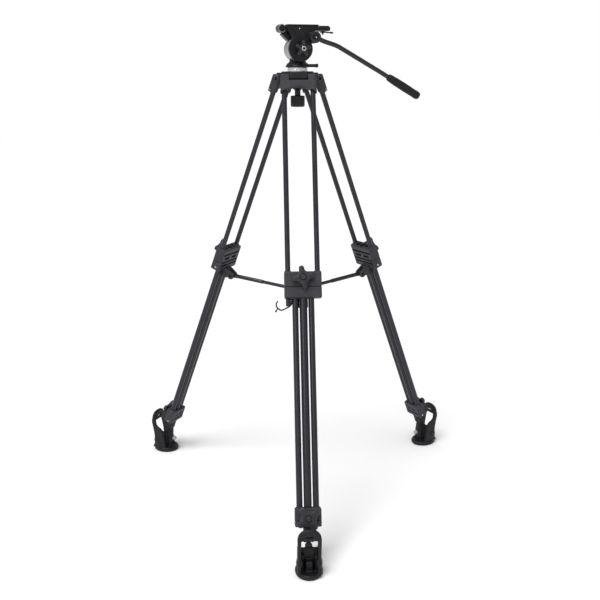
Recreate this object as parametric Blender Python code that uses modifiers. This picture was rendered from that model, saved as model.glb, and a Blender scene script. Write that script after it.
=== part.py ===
"""Video tripod with a fluid pan and tilt head.

Metres, +Z up. The origin is on the floor, in the middle of the footprint's bounding box. The legs
stand spread on their stops, with the middle stage drawn out and the lowest stage in.
"""

from math import asin, cos, pi, radians, sin, sqrt

import bmesh
import bpy
from mathutils import Matrix, Vector

# Stance
LEG_ANGLE = radians(21.57)  # of each leg from the vertical
HINGE_RADIUS = 0.041
HINGE_HEIGHT = 1.209
FOOT_RADIUS = 0.506  # from the tripod's axis to a foot pad's centre
PAD_RADIUS = 0.042  # along the leg's direction
LEG_AZIMUTHS = {"front": -90, "right": 30, "left": 150}
AXIS = Vector((0, FOOT_RADIUS / 4, 0))  # the tripod's axis, so that the box is centred
GAP = 0.0003  # clearance between neighbours

# Legs: distances along the leg from its hinge, and offsets across it
UPPER_TUBE = dict(radius=0.007, wall=0.0013, offset=0.0389, start=0.0062, end=0.572)
MID_TUBE = dict(radius=0.008, wall=0.0013, offset=0.0211, start=0.532, end=1.172)
LOWER_TUBE = dict(radius=0.01025, wall=0.0015, offset=0.0, start=0.545, end=1.192)
MID_CLAMP = dict(width=0.098, depth=0.030, start=0.527, end=0.597)
LOWER_CLAMP = dict(width=0.068, depth=0.030, start=1.133, end=1.180)
MID_KNOB_AT = 0.545
LOWER_KNOB_AT = 1.157
FOOT_PIVOT_HEIGHT = 0.0837
KNOB_STUD = 0.003

# Spreader
ARM_PIVOT = Vector((0, 0.040, -0.606))  # in the leg's frame
ARM_LENGTH = 0.2054
ARM_DROP = radians(4.95)  # below the horizontal, towards the hub
ARM_TUBE_END = 0.1085
ARM_ROD_START = 0.0965
HUB_PIN_RADIUS = 0.022  # from the tripod's axis to a hub pin

# Levelling bowl, heights above the leg hinges
BALL_RADIUS = 0.0375
BALL_RISE = 0.0195  # of the ball's centre and the bowl's rim
BOWL_GAP = 0.0006  # around the ball
BOWL_WALL = 0.0037
CROWN_HOLE = 0.0165
WASHER_HOLE = 0.014

# Head, heights above the floor
HEAD_YAW = radians(193.5)  # of the lens side
BASE_BOTTOM = 1.239
BASE_TOP = 1.2475
TILT_HEIGHT = 1.2867
DRUM_RADIUS = 0.0325
DRUM_HALF = 0.024
CHEEK_RADIUS = 0.0335
PLATFORM_BOTTOM = 1.3335
PLATFORM_TOP = 1.3440
PLATE_TOP = 1.350
ROSETTE = (-0.0351, 1.3158)
HANDLE_Y = 0.0493
LOCK_KNOB = (0.0465, 0, 1.3400)
LOCK_KNOB_RADIUS = 0.0111


def fresh_scene():
    for obj in list(bpy.data.objects):
        bpy.data.objects.remove(obj)
    for name in ("tripod", "tripod_cutters"):
        bpy.context.scene.collection.children.link(bpy.data.collections.new(name))


def material(name, color, roughness, metallic):
    made = bpy.data.materials.new(name)
    made.use_nodes = True
    shader = made.node_tree.nodes["Principled BSDF"]
    shader.inputs["Base Color"].default_value = (*color, 1)
    shader.inputs["Roughness"].default_value = roughness
    shader.inputs["Metallic"].default_value = metallic
    return made


def helper(mesh, at=(0, 0, 0), turn=(0, 0, 0)):
    """An object that only serves to build others."""
    obj = bpy.data.objects.new("helper", mesh)
    obj.location = at
    obj.rotation_euler = turn
    obj.hide_render = True
    obj.display_type = "WIRE"
    bpy.data.collections["tripod_cutters"].objects.link(obj)
    return obj


def from_bmesh(shape, at, turn):
    bmesh.ops.recalc_face_normals(shape, faces=shape.faces)
    mesh = bpy.data.meshes.new("helper")
    shape.to_mesh(mesh)
    shape.free()
    return helper(mesh, at, turn)


def box(size, at=(0, 0, 0), turn=(0, 0, 0), bevel=0.0, segments=1):
    shape = bmesh.new()
    bmesh.ops.create_cube(shape, size=1)
    bmesh.ops.scale(shape, vec=size, verts=shape.verts)
    if bevel:
        bmesh.ops.bevel(
            shape, geom=shape.edges[:], offset=bevel, segments=segments, affect="EDGES", profile=0.5
        )
    return from_bmesh(shape, at, turn)


def cylinder(radius, length, at=(0, 0, 0), axis="Z", sides=20, end_radius=None):
    """A cylinder or cone centred on its place. end_radius is at its upper end along the axis."""
    shape = bmesh.new()
    bmesh.ops.create_cone(
        shape,
        cap_ends=True,
        segments=sides,
        radius1=radius,
        radius2=radius if end_radius is None else end_radius,
        depth=length,
    )
    return from_bmesh(shape, at, {"Z": (0, 0, 0), "X": (0, pi / 2, 0), "Y": (-pi / 2, 0, 0)}[axis])


def ball(radius, at=(0, 0, 0), sides=32):
    shape = bmesh.new()
    bmesh.ops.create_uvsphere(shape, u_segments=sides, v_segments=sides // 2, radius=radius)
    return from_bmesh(shape, at, (0, 0, 0))


def turned(profile, sides=32, ring=False, at=(0, 0, 0), turn=(0, 0, 0)):
    """An outline of (radius, height) points, down the outer side, turned about Z."""
    count = len(profile)
    edges = [(i, (i + 1) % count) for i in range(count if ring else count - 1)]
    mesh = bpy.data.meshes.new("profile")
    mesh.from_pydata([(r, 0, z) for r, z in profile], edges, [])
    obj = helper(mesh, at, turn)
    screw = obj.modifiers.new("turn", "SCREW")
    screw.steps = screw.render_steps = sides
    screw.use_merge_vertices = True
    screw.merge_threshold = 0.00001
    return obj


def baked(obj):
    """The object's evaluated mesh, in its parent's space, with its helper removed."""
    bpy.context.view_layer.update()
    graph = bpy.context.evaluated_depsgraph_get()
    mesh = bpy.data.meshes.new_from_object(obj.evaluated_get(graph))
    mesh.transform(obj.matrix_basis)
    bpy.data.objects.remove(obj)
    return mesh


def welded(mesh):
    shape = bmesh.new()
    shape.from_mesh(mesh)
    bmesh.ops.remove_doubles(shape, verts=shape.verts, dist=0.00001)
    bmesh.ops.recalc_face_normals(shape, faces=shape.faces)
    shape.to_mesh(mesh)
    shape.free()
    return mesh


def prism(outline, thickness, at=(0, 0, 0), turn=(0, 0, 0)):
    """A flat outline in XY with the given thickness along Z."""
    curve = bpy.data.curves.new("outline", "CURVE")
    curve.dimensions = "2D"
    curve.fill_mode = "BOTH"
    curve.extrude = thickness / 2
    spline = curve.splines.new("POLY")
    spline.points.add(len(outline) - 1)
    for point, (x, y) in zip(spline.points, outline):
        point.co = (x, y, 0, 1)
    spline.use_cyclic_u = True
    return helper(welded(baked(helper(curve))), at, turn)


def smoothed(points, steps=3):
    """A denser run of points on the smooth curve through the given ones."""
    points = [Vector(p) for p in points]
    ends = [2 * points[0] - points[1], *points, 2 * points[-1] - points[-2]]
    dense = []
    for a, b, c, d in zip(ends, ends[1:], ends[2:], ends[3:]):
        for i in range(steps):
            t = i / steps
            bend = 2 * a - 5 * b + 4 * c - d
            twist = 3 * b - a - 3 * c + d
            dense.append(b + (c - a) * t / 2 + bend * t**2 / 2 + twist * t**3 / 2)
    return [*dense, points[-1]]


def pipe(points, radius, resolution=2):
    """A round bar along the points."""
    curve = bpy.data.curves.new("route", "CURVE")
    curve.dimensions = "3D"
    curve.bevel_depth = radius
    curve.bevel_resolution = resolution
    curve.use_fill_caps = True
    spline = curve.splines.new("POLY")
    spline.points.add(len(points) - 1)
    for point, place in zip(spline.points, points):
        point.co = (*place, 1)
    return helper(welded(baked(helper(curve))))


def combined(base, add=(), cut=()):
    """The base with shapes joined to it, and then shapes cut from it, as one mesh."""
    operands = [(shape, "UNION") for shape in add] + [(shape, "DIFFERENCE") for shape in cut]
    for shape, operation in operands:
        boolean = base.modifiers.new(operation.lower(), "BOOLEAN")
        boolean.operation = operation
        boolean.object = shape
    mesh = baked(base)
    for shape, _ in operands:
        bpy.data.objects.remove(shape)
    return mesh


def part(name, mesh, finish, parent=None, origin=(0, 0, 0), turn=(0, 0, 0)):
    """A named sub-part. Its mesh is already relative to its origin."""
    mesh.name = name
    mesh.shade_smooth()
    mesh.set_sharp_from_angle(angle=radians(32))
    mesh.materials.clear()
    mesh.materials.append(finish)
    obj = bpy.data.objects.new(name, mesh)
    obj.parent = parent
    obj.location = origin
    obj.rotation_euler = turn
    bpy.data.collections["tripod"].objects.link(obj)
    return obj


def empty(name, at, turn=(0, 0, 0)):
    obj = bpy.data.objects.new(name, None)
    obj.location = at
    obj.rotation_euler = turn
    obj.empty_display_size = 0.05
    bpy.data.collections["tripod"].objects.link(obj)
    return obj


def star(arms, tip, waist, sharpness=1.5, points_per_arm=10):
    """The outline of a star knob with rounded arms."""
    outline = []
    for i in range(arms * points_per_arm):
        angle = 2 * pi * i / (arms * points_per_arm)
        lobe = ((1 + cos(arms * angle)) / 2) ** sharpness
        radius = waist + (tip - waist) * lobe
        outline.append((radius * cos(angle), radius * sin(angle)))
    return outline


# Legs. Each leg's frame has its origin on the hinge, X along the hinge, Y towards the inside of
# the tripod, square to the leg, and Z up along the leg.


def tube_mesh(radius, wall, start, end, **_):
    inner = radius - wall
    outline = [(inner, -start), (radius, -start), (radius, -end), (inner, -end)]
    return baked(turned(outline, sides=12, ring=True))


def yoke_mesh():
    front, back, top, bottom = -0.015, 0.0042, 0.010, -0.040
    width = 0.097
    body = box(
        (width, back - front, top - bottom), (0, (front + back) / 2, (top + bottom) / 2), bevel=0.0034
    )
    offset = UPPER_TUBE["offset"]
    sleeves = [
        cylinder(0.0105, 0.046, (side * offset, 0, -0.019), sides=14) for side in (-1, 1)
    ]
    notch = box((0.0512, 0.08, 0.04), (0, 0, 0.0117))
    arch = cylinder(0.110, 0.08, (0, 0, -0.1388), axis="Y", sides=72)
    bore = UPPER_TUBE["radius"] + GAP
    bores = [
        cylinder(bore, 0.056, (side * offset, 0, -0.0337), sides=12) for side in (-1, 1)
    ]
    pin_hole = cylinder(0.0040, 0.2, axis="X", sides=12)
    # What the crown's rim needs, as it stands in the leg's frame
    rim = cylinder(0.0452, 0.040, sides=28)
    rim.matrix_basis = (
        Matrix.Rotation(LEG_ANGLE, 4, "X") @ Matrix.Translation((0, HINGE_RADIUS, 0.024))
    )
    return combined(body, sleeves, [notch, arch, *bores, pin_hole, rim])


def clamp_block(width, depth, start, end, bores, knob_at):
    """The body of a leg clamp, with its tube bores as (x, radius, start, end)."""
    body = box((width, depth, end - start), (0, 0, -(start + end) / 2), bevel=0.0025)
    cuts = [
        cylinder(r + GAP, b - a, (x, 0, -(a + b) / 2), sides=12) for x, r, a, b in bores
    ]
    cuts.append(cylinder(KNOB_STUD + GAP, 0.0038 * 2, (0, -depth / 2, -knob_at), axis="Y", sides=8))
    return body, cuts


def mid_clamp_mesh():
    start, end = MID_CLAMP["start"], MID_CLAMP["end"]
    bores = [(LOWER_TUBE["offset"], LOWER_TUBE["radius"], start - 0.01, end + 0.03)]
    for side in (-1, 1):
        bores.append((side * MID_TUBE["offset"], MID_TUBE["radius"], start - 0.01, end + 0.01))
        upper_end = UPPER_TUBE["end"] + GAP
        bores.append((side * UPPER_TUBE["offset"], UPPER_TUBE["radius"], start - 0.01, upper_end))
    body, cuts = clamp_block(**MID_CLAMP, bores=bores, knob_at=MID_KNOB_AT)
    bracket = box((0.026, 0.040, 0.034), (0, 0.030, -0.605), bevel=0.003, segments=1)
    slot = box((0.0126, 0.06, 0.08), (0, 0.056, -0.612))
    pin = cylinder(0.0025, 0.020, ARM_PIVOT, axis="X", sides=12)
    ears = combined(bracket, [], [slot])
    block = combined(body, [helper(ears)], cuts)
    return combined(helper(block), [pin])


def lower_clamp_mesh():
    start, end = LOWER_CLAMP["start"], LOWER_CLAMP["end"]
    bores = [(LOWER_TUBE["offset"], LOWER_TUBE["radius"], start - 0.01, end + 0.01)]
    for side in (-1, 1):
        mid_end = MID_TUBE["end"] + GAP
        bores.append((side * MID_TUBE["offset"], MID_TUBE["radius"], start - 0.01, mid_end))
    body, cuts = clamp_block(**LOWER_CLAMP, bores=bores, knob_at=LOWER_KNOB_AT)
    return combined(body, [], cuts)


def leg_knob_mesh():
    """A four-armed knob on its stud. Its axis is Y, and the clamp's face is at y = 0."""
    flat = (-pi / 2, 0, 0)
    arms = prism(star(4, 0.031, 0.0135, points_per_arm=6), 0.011, (0, -0.0115, 0), flat)
    boss = cylinder(0.0101, 0.0056, (0, -0.0034, 0), axis="Y", sides=14)
    cap = cylinder(0.0083, 0.008, (0, -0.0190, 0), axis="Y", sides=14, end_radius=0.0093)
    stud = cylinder(KNOB_STUD, 0.008, (0, -0.0007, 0), axis="Y", sides=8)
    return combined(arms, [boss, cap, stud])


def foot_fork_mesh(pivot):
    """The lower tube's end fitting: a neck over two ears, with the foot's pin between them."""
    neck = cylinder(0.0132, 0.0165, (0, 0, pivot + 0.0200), sides=14)
    ears = []
    for side in (-1, 1):
        ears.append(box((0.0058, 0.0180, 0.0160), (side * 0.0097, 0, pivot + 0.0070)))
        ears.append(cylinder(0.0092, 0.0060, (side * 0.0097, 0, pivot), axis="X", sides=16))
    pin = cylinder(0.0030, 0.022, (0, 0, pivot), axis="X", sides=12)
    socket = cylinder(LOWER_TUBE["radius"] + GAP, 0.0160, (0, 0, pivot + 0.0255), sides=12)
    body = combined(neck, ears, [socket])
    return combined(helper(body), [pin])


def foot_pad_mesh(outward):
    """The foot in a frame on its pivot, X along the pivot, Y inwards and Z up."""
    floor = -FOOT_PIVOT_HEIGHT
    profile = [
        (0, 0.014), (0.0315, 0.014), (0.0360, 0.0100), (0.0360, 0.0035), (0.0330, 0), (0, 0),
    ]
    disc = helper(baked(turned(profile, sides=24)), (0, -outward, floor))
    disc.scale = (1, PAD_RADIUS / 0.0360, 1)
    upright = (pi / 2, 0, pi / 2)
    rib = [(-0.0330, 0.010), (0.0000, 0.010), (0.0080, 0.060), (0.0088, -floor), (-0.0088, -floor)]
    rib = prism([(y, z + floor) for y, z in rib], 0.0118, turn=upright)
    eye = cylinder(0.0088, 0.0124, axis="X", sides=16)
    tab = box((0.0100, 0.0200, 0.0150), (0, 0.0130, 0.0450 + floor), (radians(-35), 0, 0))
    hole = cylinder(0.0033, 0.05, axis="X", sides=12)
    wall = [
        (0.034, 0.010), (0.028, 0.042), (0.0285, 0.062), (0.036, 0.082), (0.0440, 0.100),
        (0.0445, 0.112), (0.0370, 0.120), (0.0310, 0.114), (0.0305, 0.103), (0.0170, 0.086),
        (0.0040, 0.070), (-0.002, 0.048), (-0.010, 0.010),
    ]
    walls = [
        prism(
            [(-outward - y, z + floor) for y, z in wall], 0.0094, (side * 0.0262, 0, 0), upright
        )
        for side in (-1, 1)
    ]
    half = [(0.0262, 0.0385, 0.105), (0.0225, 0.0385, 0.1165), (0.0135, 0.0375, 0.1235)]
    route = [*half, (0, 0.0370, 0.1258), *[(-x, y, z) for x, y, z in reversed(half)]]
    band = pipe([(x, -outward - y, floor + z) for x, y, z in route], 0.0058)
    return combined(disc, [rib, eye, tab, *walls, band], [hole])


def leg_clip_mesh():
    """The hook below the clamp, in a frame on the tube's axis at the clamp's lower face."""
    stub = cylinder(0.0068, 0.020, (0, 0, -0.0103), sides=12)
    route = [
        (0.0030, -0.0010, -0.016), (-0.0125, -0.0010, -0.029), (-0.0257, -0.0010, -0.027),
        (-0.0320, -0.0010, -0.015), (-0.0275, -0.0010, -0.006),
    ]
    hook = pipe(smoothed(route), 0.0015)
    tail = pipe([(-0.0280, -0.0010, -0.0248), (-0.0340, -0.0010, -0.0350)], 0.0015)
    return combined(stub, [hook, tail])


def leg_matrix(azimuth):
    """Where the leg's frame stands."""
    turn = radians(azimuth)
    hinge = AXIS + Vector((HINGE_RADIUS * cos(turn), HINGE_RADIUS * sin(turn), HINGE_HEIGHT))
    return hinge, (-LEG_ANGLE, 0, turn + pi / 2)


def build_legs(black, grey, rubber, steel):
    pivot = -(HINGE_HEIGHT - FOOT_PIVOT_HEIGHT) / cos(LEG_ANGLE)
    pivot_radius = HINGE_RADIUS - pivot * sin(LEG_ANGLE)
    meshes = {
        "leg_yoke": yoke_mesh(),
        "mid_clamp": mid_clamp_mesh(),
        "lower_clamp": lower_clamp_mesh(),
        "leg_knob": leg_knob_mesh(),
        "foot_fork": foot_fork_mesh(pivot),
        "foot_pad": foot_pad_mesh(FOOT_RADIUS - pivot_radius),
        "upper_tube": tube_mesh(**UPPER_TUBE),
        "mid_tube": tube_mesh(**MID_TUBE),
        "lower_tube": tube_mesh(**LOWER_TUBE),
    }
    for leg, azimuth in LEG_AZIMUTHS.items():
        hinge, turn = leg_matrix(azimuth)
        frame = empty(f"{leg}_leg_hinge", hinge, turn)
        for name in ("leg_yoke", "mid_clamp", "lower_clamp"):
            part(f"{leg}_{name}", meshes[name], grey, frame)
        for name, spec in (("upper_tube", UPPER_TUBE), ("mid_tube", MID_TUBE)):
            for label, side in (("a", -1), ("b", 1)):
                part(
                    f"{leg}_{name}_{label}", meshes[name], black, frame, (side * spec["offset"], 0, 0)
                )
        part(f"{leg}_lower_tube", meshes["lower_tube"], black, frame)
        for name, along, clamp, roll in (
            ("mid_knob", MID_KNOB_AT, MID_CLAMP, 10),
            ("lower_knob", LOWER_KNOB_AT, LOWER_CLAMP, 35),
        ):
            seat = (0, -clamp["depth"] / 2, -along)
            part(f"{leg}_{name}", meshes["leg_knob"], grey, frame, seat, (0, -radians(roll), 0))
        part(f"{leg}_foot_fork", meshes["foot_fork"], grey, frame)
        around = radians(azimuth)
        place = AXIS + Vector(
            (pivot_radius * cos(around), pivot_radius * sin(around), FOOT_PIVOT_HEIGHT)
        )
        foot = empty(f"{leg}_foot_pivot", place, (0, 0, around + pi / 2))
        part(f"{leg}_foot_pad", meshes["foot_pad"], rubber, foot)
        if leg == "front":
            at = (-UPPER_TUBE["offset"], 0, -MID_CLAMP["end"])
            part("leg_clip", leg_clip_mesh(), steel, frame, at)


# Spreader


def arm_tube_mesh():
    eye = cylinder(0.0080, 0.0120, axis="X", sides=16)
    outer, inner = 0.0059, 0.0053
    start = 0.004
    length = ARM_TUBE_END - start
    tube = cylinder(outer, length, (0, start + length / 2, 0), axis="Y", sides=12)
    bore_start = 0.0100
    bore_length = ARM_TUBE_END + 0.01 - bore_start
    bore = cylinder(inner, bore_length, (0, bore_start + bore_length / 2, 0), axis="Y", sides=12)
    hole = cylinder(0.0028, 0.03, axis="X", sides=10)
    return combined(eye, [tube], [bore, hole])


def arm_rod_mesh():
    length = ARM_LENGTH - ARM_ROD_START
    rod = cylinder(0.0050, length, (0, ARM_ROD_START + length / 2, 0), axis="Y", sides=12)
    eye = cylinder(0.0062, 0.0120, (0, ARM_LENGTH, 0), axis="X", sides=16)
    flats = [box((0.01, 0.022, 0.02), (side * 0.0080, ARM_LENGTH, 0)) for side in (-1, 1)]
    hole = cylinder(0.0022, 0.03, (0, ARM_LENGTH, 0), axis="X", sides=12)
    return combined(rod, [eye], [*flats, hole])


def hub_mesh():
    disc = cylinder(0.017, 0.012, sides=28)
    ears, slots, pins = [], [], []
    for azimuth in LEG_AZIMUTHS.values():
        turn = radians(azimuth)
        out = Vector((cos(turn), sin(turn), 0))
        along = (0, 0, turn)
        ears.append(box((0.022, 0.0140, 0.0118), out * 0.018, along))
        slots.append(box((0.030, 0.0072, 0.04), out * 0.030, along))
        pin = cylinder(0.0019, 0.0130, axis="X", sides=12)
        pin.matrix_basis = (
            Matrix.Translation(out * HUB_PIN_RADIUS)
            @ Matrix.Rotation(turn + pi / 2, 4, "Z")
            @ Matrix.Rotation(pi / 2, 4, "Y")
        )
        pins.append(pin)
    body = combined(disc, ears, slots)
    return combined(helper(body), pins)


def build_spreader(black, grey):
    tube, rod = arm_tube_mesh(), arm_rod_mesh()
    for leg, azimuth in LEG_AZIMUTHS.items():
        hinge, turn = leg_matrix(azimuth)
        tilt = Matrix.Rotation(turn[2], 4, "Z") @ Matrix.Rotation(turn[0], 4, "X")
        frame = empty(f"{leg}_arm_pivot", hinge + tilt @ ARM_PIVOT, (-ARM_DROP, 0, turn[2]))
        part(f"{leg}_arm_tube", tube, black, frame)
        part(f"{leg}_arm_rod", rod, black, frame)
    hinge, turn = leg_matrix(LEG_AZIMUTHS["front"])
    tilt = Matrix.Rotation(turn[0], 4, "X")
    pin = hinge + tilt @ ARM_PIVOT + Matrix.Rotation(-ARM_DROP, 4, "X") @ Vector((0, ARM_LENGTH, 0))
    part("spreader_hub", hub_mesh(), grey, None, (AXIS.x, AXIS.y, pin.z))


# Levelling bowl. Its frame is on the tripod's axis at the ball's centre.


def arc(radius, from_radius, to_radius, steps=6):
    """Points on the lower half of a sphere, between two distances from the axis."""
    first, last = asin(from_radius / radius), asin(to_radius / radius)
    angles = [first + (last - first) * i / steps for i in range(steps + 1)]
    return [(radius * sin(a), -radius * cos(a)) for a in angles]


def crown_mesh():
    inner, rim = BALL_RADIUS + BOWL_GAP, 0.044
    outer = inner + BOWL_WALL
    rim_depth = 0.0095
    rim_inner = sqrt(outer**2 - rim_depth**2)
    solid = turned(
        [(0, 0), (rim, 0), (rim, -rim_depth), *reversed(arc(outer, 0.006, rim_inner, 4)), (0, -outer)],
        sides=36,
    )
    lobes, pins = [], []
    for azimuth in LEG_AZIMUTHS.values():
        turn = radians(azimuth)
        out = Vector((cos(turn), sin(turn), 0))
        lobe = box((0.0500, 0.027, 0.0170), bevel=0.0012)
        lobe.matrix_basis = Matrix.Translation(
            out * (HINGE_RADIUS - 0.0015) + Vector((0, 0, 0.0081 - BALL_RISE))
        ) @ Matrix.Rotation(turn + pi / 2, 4, "Z")
        along = Matrix.Translation(out * HINGE_RADIUS + Vector((0, 0, -BALL_RISE)))
        along = along @ Matrix.Rotation(turn + pi / 2, 4, "Z") @ Matrix.Rotation(pi / 2, 4, "Y")
        knuckle = cylinder(0.0079, 0.0496, sides=16)
        knuckle.matrix_basis = along
        pin = cylinder(0.0037, 0.0920, sides=12)
        pin.matrix_basis = along
        lobes += [lobe, knuckle]
        pins.append(pin)
    wall = [(0, 0.01), (inner, 0.01), (inner, -0.0012)]
    hollow = [*wall, *reversed(arc(inner, 0.006, 0.995 * inner, 6)), (0, -inner)]
    cavity = turned(hollow, sides=36)
    hole = cylinder(CROWN_HOLE, 0.04, (0, 0, -inner), sides=24)
    return combined(solid, [*lobes, *pins], [cavity, hole])


def half_ball_mesh():
    neck = BASE_BOTTOM - GAP - HINGE_HEIGHT - BALL_RISE
    bottom = 0.025
    profile = [
        (0.0053, neck), (0.0275, neck), (0.0275, 0), *reversed(arc(BALL_RADIUS, bottom, BALL_RADIUS, 4)),
        (0.0053, -sqrt(BALL_RADIUS**2 - bottom**2)),
    ]
    return baked(turned(profile, sides=32, ring=True))


def washer_mesh():
    inner, outer = BALL_RADIUS + BOWL_GAP + BOWL_WALL + GAP, 0.0445
    profile = [*reversed(arc(inner, WASHER_HOLE, 0.021, 2)), *arc(outer, WASHER_HOLE, 0.021, 2)]
    return baked(turned(profile[::-1], sides=24, ring=True))


def clamp_knob_mesh():
    seat = 0.0448
    top, bottom = -0.045 - BALL_RISE, -0.075 - BALL_RISE
    profile = [
        (0, -0.012), (0.005, -0.012), *arc(seat, 0.005, 0.019, 3),
        (0.019, -0.0430), (0.010, -0.0480), (0.008, -0.0500), (0.008, top),
        (0.0175, top), (0.0195, top - 0.002), (0.0195, bottom + 0.003), (0.0165, bottom), (0, bottom),
    ]
    return baked(turned(profile, sides=20))


def build_bowl(black, grey, silver):
    centre = AXIS + Vector((0, 0, HINGE_HEIGHT + BALL_RISE))
    part("crown", crown_mesh(), grey, None, centre)
    part("half_ball", half_ball_mesh(), silver, None, centre)
    part("clamp_washer", washer_mesh(), silver, None, centre)
    part("clamp_knob", clamp_knob_mesh(), black, None, centre)


# Head. Its frame is on the tripod's axis at the floor, X towards the lens, Y towards the side
# with the tilt knob and the handle, Z up.


def pan_base_mesh():
    height = BASE_TOP - BASE_BOTTOM
    profile = [(0, height), (0.0300, height), (0.0325, 0.0035), (0.0325, 0), (0, 0)]
    base = turned(profile, sides=28, at=(0, 0, BASE_BOTTOM))
    turn = radians(LEVER_AZIMUTH)
    boss = cylinder(0.0036, 0.020)
    boss.matrix_basis = (
        Matrix.Translation((0, 0, LEVER_HEIGHT))
        @ Matrix.Rotation(turn, 4, "Z")
        @ Matrix.Translation((0.0300, 0, 0))
        @ Matrix.Rotation(pi / 2, 4, "Y")
    )
    spigot = cylinder(0.0100, 0.010, (0, 0, BASE_TOP + 0.001), sides=16)
    bore = cylinder(0.0053, 0.012, (0, 0, BASE_BOTTOM), sides=12)
    return combined(base, [boss, spigot], [bore])


LEVER_AZIMUTH = 105.0  # of the pan lever's screw in the head's frame
LEVER_HEIGHT = 1.2434


def pan_lever_mesh():
    """The lever in a frame on its screw: X away from the head, Y along the base, Z up."""
    arm = box((0.0050, 0.046, 0.0085), (0.0025, 0.021, 0), bevel=0.0015)
    boss = cylinder(0.0062, 0.0060, (0.0028, 0, 0), axis="X", sides=20)
    hole = cylinder(0.0039, 0.03, axis="X", sides=16)
    loop = box((0.02, 0.018, 0.0038), (0.0025, 0.031, 0))
    return combined(arm, [boss], [hole, loop])


def head_body_mesh():
    skirt = turned(
        [(0, 0.012), (0.022, 0.012), (0.0234, 0.005), (0.0290, 0.0015), (0.0290, 0), (0, 0)],
        sides=32,
        at=(0, 0, BASE_TOP + GAP),
    )
    drum = cylinder(DRUM_RADIUS, 2 * DRUM_HALF, (0, 0, TILT_HEIGHT), axis="Y", sides=36)
    axle = cylinder(0.008, 0.060, (0, 0, TILT_HEIGHT), axis="Y", sides=20)
    socket = cylinder(0.0103, 0.0066 * 2, (0, 0, BASE_TOP), sides=16)
    return combined(skirt, [drum, axle], [socket])


def cheek(side, radius, thickness):
    """A side plate with its disc, drawn in XZ and standing beside the drum."""
    foot = sqrt(radius**2 - 0.020**2)
    top = PLATFORM_BOTTOM + 0.004 - TILT_HEIGHT
    y = side * (DRUM_HALF + 0.0005 + thickness / 2)
    disc = cylinder(radius, thickness, (0, y, TILT_HEIGHT), axis="Y", sides=32)
    outline = [(0.0345, top), (0.020, foot - 0.003), (-0.025, foot - 0.006), (-0.0345, top)]
    web = prism(outline, thickness - 0.0004, (0, y, TILT_HEIGHT), (pi / 2, 0, 0))
    return [disc, web]


def cradle_mesh():
    length, back = 0.119, -0.083
    middle = back + length / 2
    rise = PLATFORM_TOP - PLATFORM_BOTTOM
    platform = box(
        (length, 0.068, rise), (middle, 0, PLATFORM_BOTTOM + rise / 2), bevel=0.002
    )
    rear = box((0.029, 0.050, 0.0108), (-0.0680, 0, 1.3417), bevel=0.001)
    block = box((0.025, 0.026, 0.014), (0.0335, 0, 1.3212), (0, -radians(44), 0), bevel=0.001)
    lugs = [
        box((0.0188, 0.0040, 0.0094), (0.0446, side * 0.0168, 1.3396), bevel=0.0008)
        for side in (-1, 1)
    ]
    x, z = ROSETTE
    rosette = cylinder(0.0155, 0.0170, (x, 0.0335, z), axis="Y", sides=20)
    gusset = box((0.013, 0.022, 0.014), (0.0265, 0, 1.3293))
    shapes = [rear, block, gusset, rosette, *cheek(1, CHEEK_RADIUS, 0.010), *cheek(-1, 0.028, 0.008)]
    channel = box((0.16, 0.0406, 0.012), (middle, 0, 1.3446))
    axle_bore = cylinder(0.0083, 0.2, (0, 0, TILT_HEIGHT), axis="Y", sides=20)
    knob_slot = cylinder(LOCK_KNOB_RADIUS + 0.0005, 0.0288, LOCK_KNOB, axis="Y", sides=28)
    pin = cylinder(0.0028, 0.036, LOCK_KNOB, axis="Y", sides=12)
    handle_screw = cylinder(0.0033, 0.024, (x, 0.0420, z), axis="Y", sides=12)
    lever_pin = cylinder(0.0025, 0.010, (-0.072, 0, 1.3300), sides=12)
    body = combined(platform, shapes, [channel, axle_bore, knob_slot, handle_screw])
    return combined(helper(body), [*lugs, pin, lever_pin])


def tilt_knob_mesh():
    """A five-armed knob in a frame at the cheek's face, its axis along Y."""
    arms = prism(star(5, 0.0215, 0.0095, 1.3, 6), 0.009, (0, 0.0200, 0), (-pi / 2, 0, 0))
    boss = cylinder(0.0081, 0.0160, (0, 0.0083, 0), axis="Y", sides=14)
    ring = cylinder(0.0063, 0.0060, (0, 0.0263, 0), axis="Y", sides=14)
    dish = cylinder(0.0040, 0.0040, (0, 0.0293, 0), axis="Y", sides=12)
    stud = cylinder(0.0030, 0.0060, (0, -0.0005, 0), axis="Y", sides=8)
    return combined(arms, [boss, ring, stud], [dish])


def camera_plate_mesh():
    length, middle = 0.088, -0.009
    top = box((length, 0.050, 0.0052), (middle, 0, PLATE_TOP - 0.0026), bevel=0.0012)
    tongue = box((length, 0.0396, 0.0060), (middle, 0, 1.3428), bevel=0.0006)
    screw_hole = cylinder(0.0036, 0.04, (0.010, 0, PLATE_TOP), sides=16)
    pocket = cylinder(0.0086, 0.0094, (0.010, 0, 1.3418), sides=20)
    return combined(top, [tongue], [screw_hole, pocket])


def camera_screw_mesh():
    """The captive screw, lowered, in a frame at the plate's top."""
    profile = [(0, -0.0004), (0.0026, -0.0004), (0.0031, -0.0010), (0.0031, -0.0092)]
    profile += [(0.0078, -0.0092), (0.0078, -0.0107), (0, -0.0107)]
    return baked(turned(profile, sides=16))


def plate_lock_knob_mesh():
    """The transverse knob at the front, in a frame at its centre, its axis along Y."""
    drum = cylinder(LOCK_KNOB_RADIUS, 0.0280, axis="Y", sides=24)
    dishes = [cylinder(0.0085, 0.004, (0, side * 0.0140, 0), axis="Y", sides=16) for side in (-1, 1)]
    bore = cylinder(0.0031, 0.1, axis="Y", sides=16)
    return combined(drum, [], [*dishes, bore])


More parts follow.
